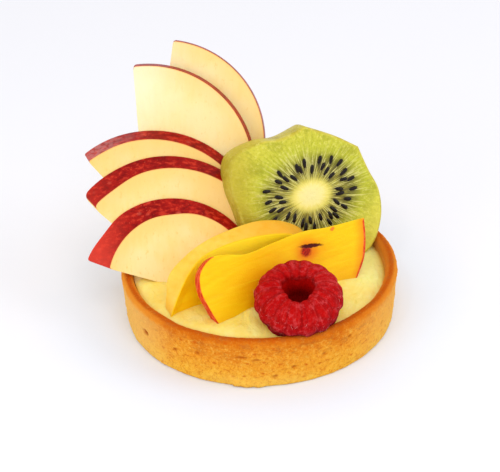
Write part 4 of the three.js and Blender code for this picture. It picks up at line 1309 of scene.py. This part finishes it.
# ---------------------------------------------------------------- studio
CAMERA_DOWN_DEGREES = 32.6
CAMERA_ROLL_DEGREES = -1.45
CAMERA_DISTANCE_MM = 600.0
CAMERA_AIM_MM = (-2.45, 39.2, 0.0)
CAMERA_LENS_MM = 138.2
CAMERA_SENSOR_MM = 36.0
FLOOR_HALF = 3.0
TART_MIDDLE_MM = (0, 0, 20)
WARM_WHITE = (1.0, 0.99, 0.98)
SKY_COLOUR = (0.98, 0.98, 1.0, 1)
SKY_STRENGTH = 0.84
LIGHTS = [
    dict(name="key", place_mm=(90, -420, 640), size_mm=420, power=0.95),
    dict(name="fill_left", place_mm=(-480, -480, 240), size_mm=420, power=0.8),
    dict(name="fill_right", place_mm=(560, -120, 420), size_mm=420, power=0.8),
    dict(name="glint", place_mm=(-160, -330, 520), size_mm=60, power=0.16, aim_mm=(0, 0, 25),
         colour=(1, 1, 1)),
]


def make_camera():
    down, roll = math.radians(CAMERA_DOWN_DEGREES), math.radians(CAMERA_ROLL_DEGREES)
    look = Vector((0, math.cos(down), -math.sin(down)))
    level = Vector((1, 0, 0))
    rise = level.cross(look)
    right = math.cos(roll) * level + math.sin(roll) * rise
    up = -math.sin(roll) * level + math.cos(roll) * rise
    data = bpy.data.cameras.new("camera")
    data.lens, data.sensor_width = CAMERA_LENS_MM, CAMERA_SENSOR_MM
    data.clip_start, data.clip_end = 0.05, 10.0
    camera = bpy.data.objects.new("camera", data)
    place = Matrix.Translation((Vector(CAMERA_AIM_MM) - look * CAMERA_DISTANCE_MM) * MM)
    camera.matrix_world = place @ Matrix((right, up, -look)).transposed().to_4x4()
    bpy.context.scene.collection.objects.link(camera)
    bpy.context.scene.camera = camera


def make_floor():
    mesh = bpy.data.meshes.new("floor")
    corners = [(x * FLOOR_HALF, y * FLOOR_HALF, 0) for x, y in ((-1, -1), (1, -1), (1, 1), (-1, 1))]
    mesh.from_pydata(corners, [], [(0, 1, 2, 3)])
    floor = bpy.data.objects.new("floor", mesh)
    bpy.context.scene.collection.objects.link(floor)
    s = Shader("paper_white")
    # painted cool tint near the tart, cancelling the crust's orange bounce light on the floor
    near = s.span(s.vector("LENGTH", s.place), 75.0, 38.0)
    mesh.materials.append(s.finish(s.mix(near, (247, 247, 251), (235, 244, 255)), 0.9, specular=0.1))


def area_light(name, place_mm, size_mm, power, aim_mm=TART_MIDDLE_MM, colour=WARM_WHITE):
    data = bpy.data.lights.new(name, "AREA")
    data.shape, data.size = "DISK", size_mm * MM
    data.energy, data.color = power, colour
    lamp = bpy.data.objects.new(name, data)
    lamp.location = Vector(place_mm) * MM
    lamp.rotation_euler = (Vector(aim_mm) - Vector(place_mm)).to_track_quat("-Z", "Y").to_euler()
    bpy.context.scene.collection.objects.link(lamp)


def make_light():
    world = bpy.data.worlds.new("studio")
    world.use_nodes = True
    background = world.node_tree.nodes["Background"]
    background.inputs["Color"].default_value = SKY_COLOUR
    background.inputs["Strength"].default_value = SKY_STRENGTH
    bpy.context.scene.world = world
    for light in LIGHTS:
        area_light(**light)
    bpy.context.scene.view_settings.view_transform = "Standard"


# ---------------------------------------------------------------- the tart
make_camera()
make_floor()
make_light()
draw = Draw(2026)
make_crust()
make_cream()
apple_flesh = apple_material()
for number in range(len(APPLE_SLICES)):
    make_apple(number, apple_flesh)
make_kiwi(draw)
make_nectarine_back()
make_nectarine_front()
make_raspberry(draw)

bpy.context.view_layer.update()
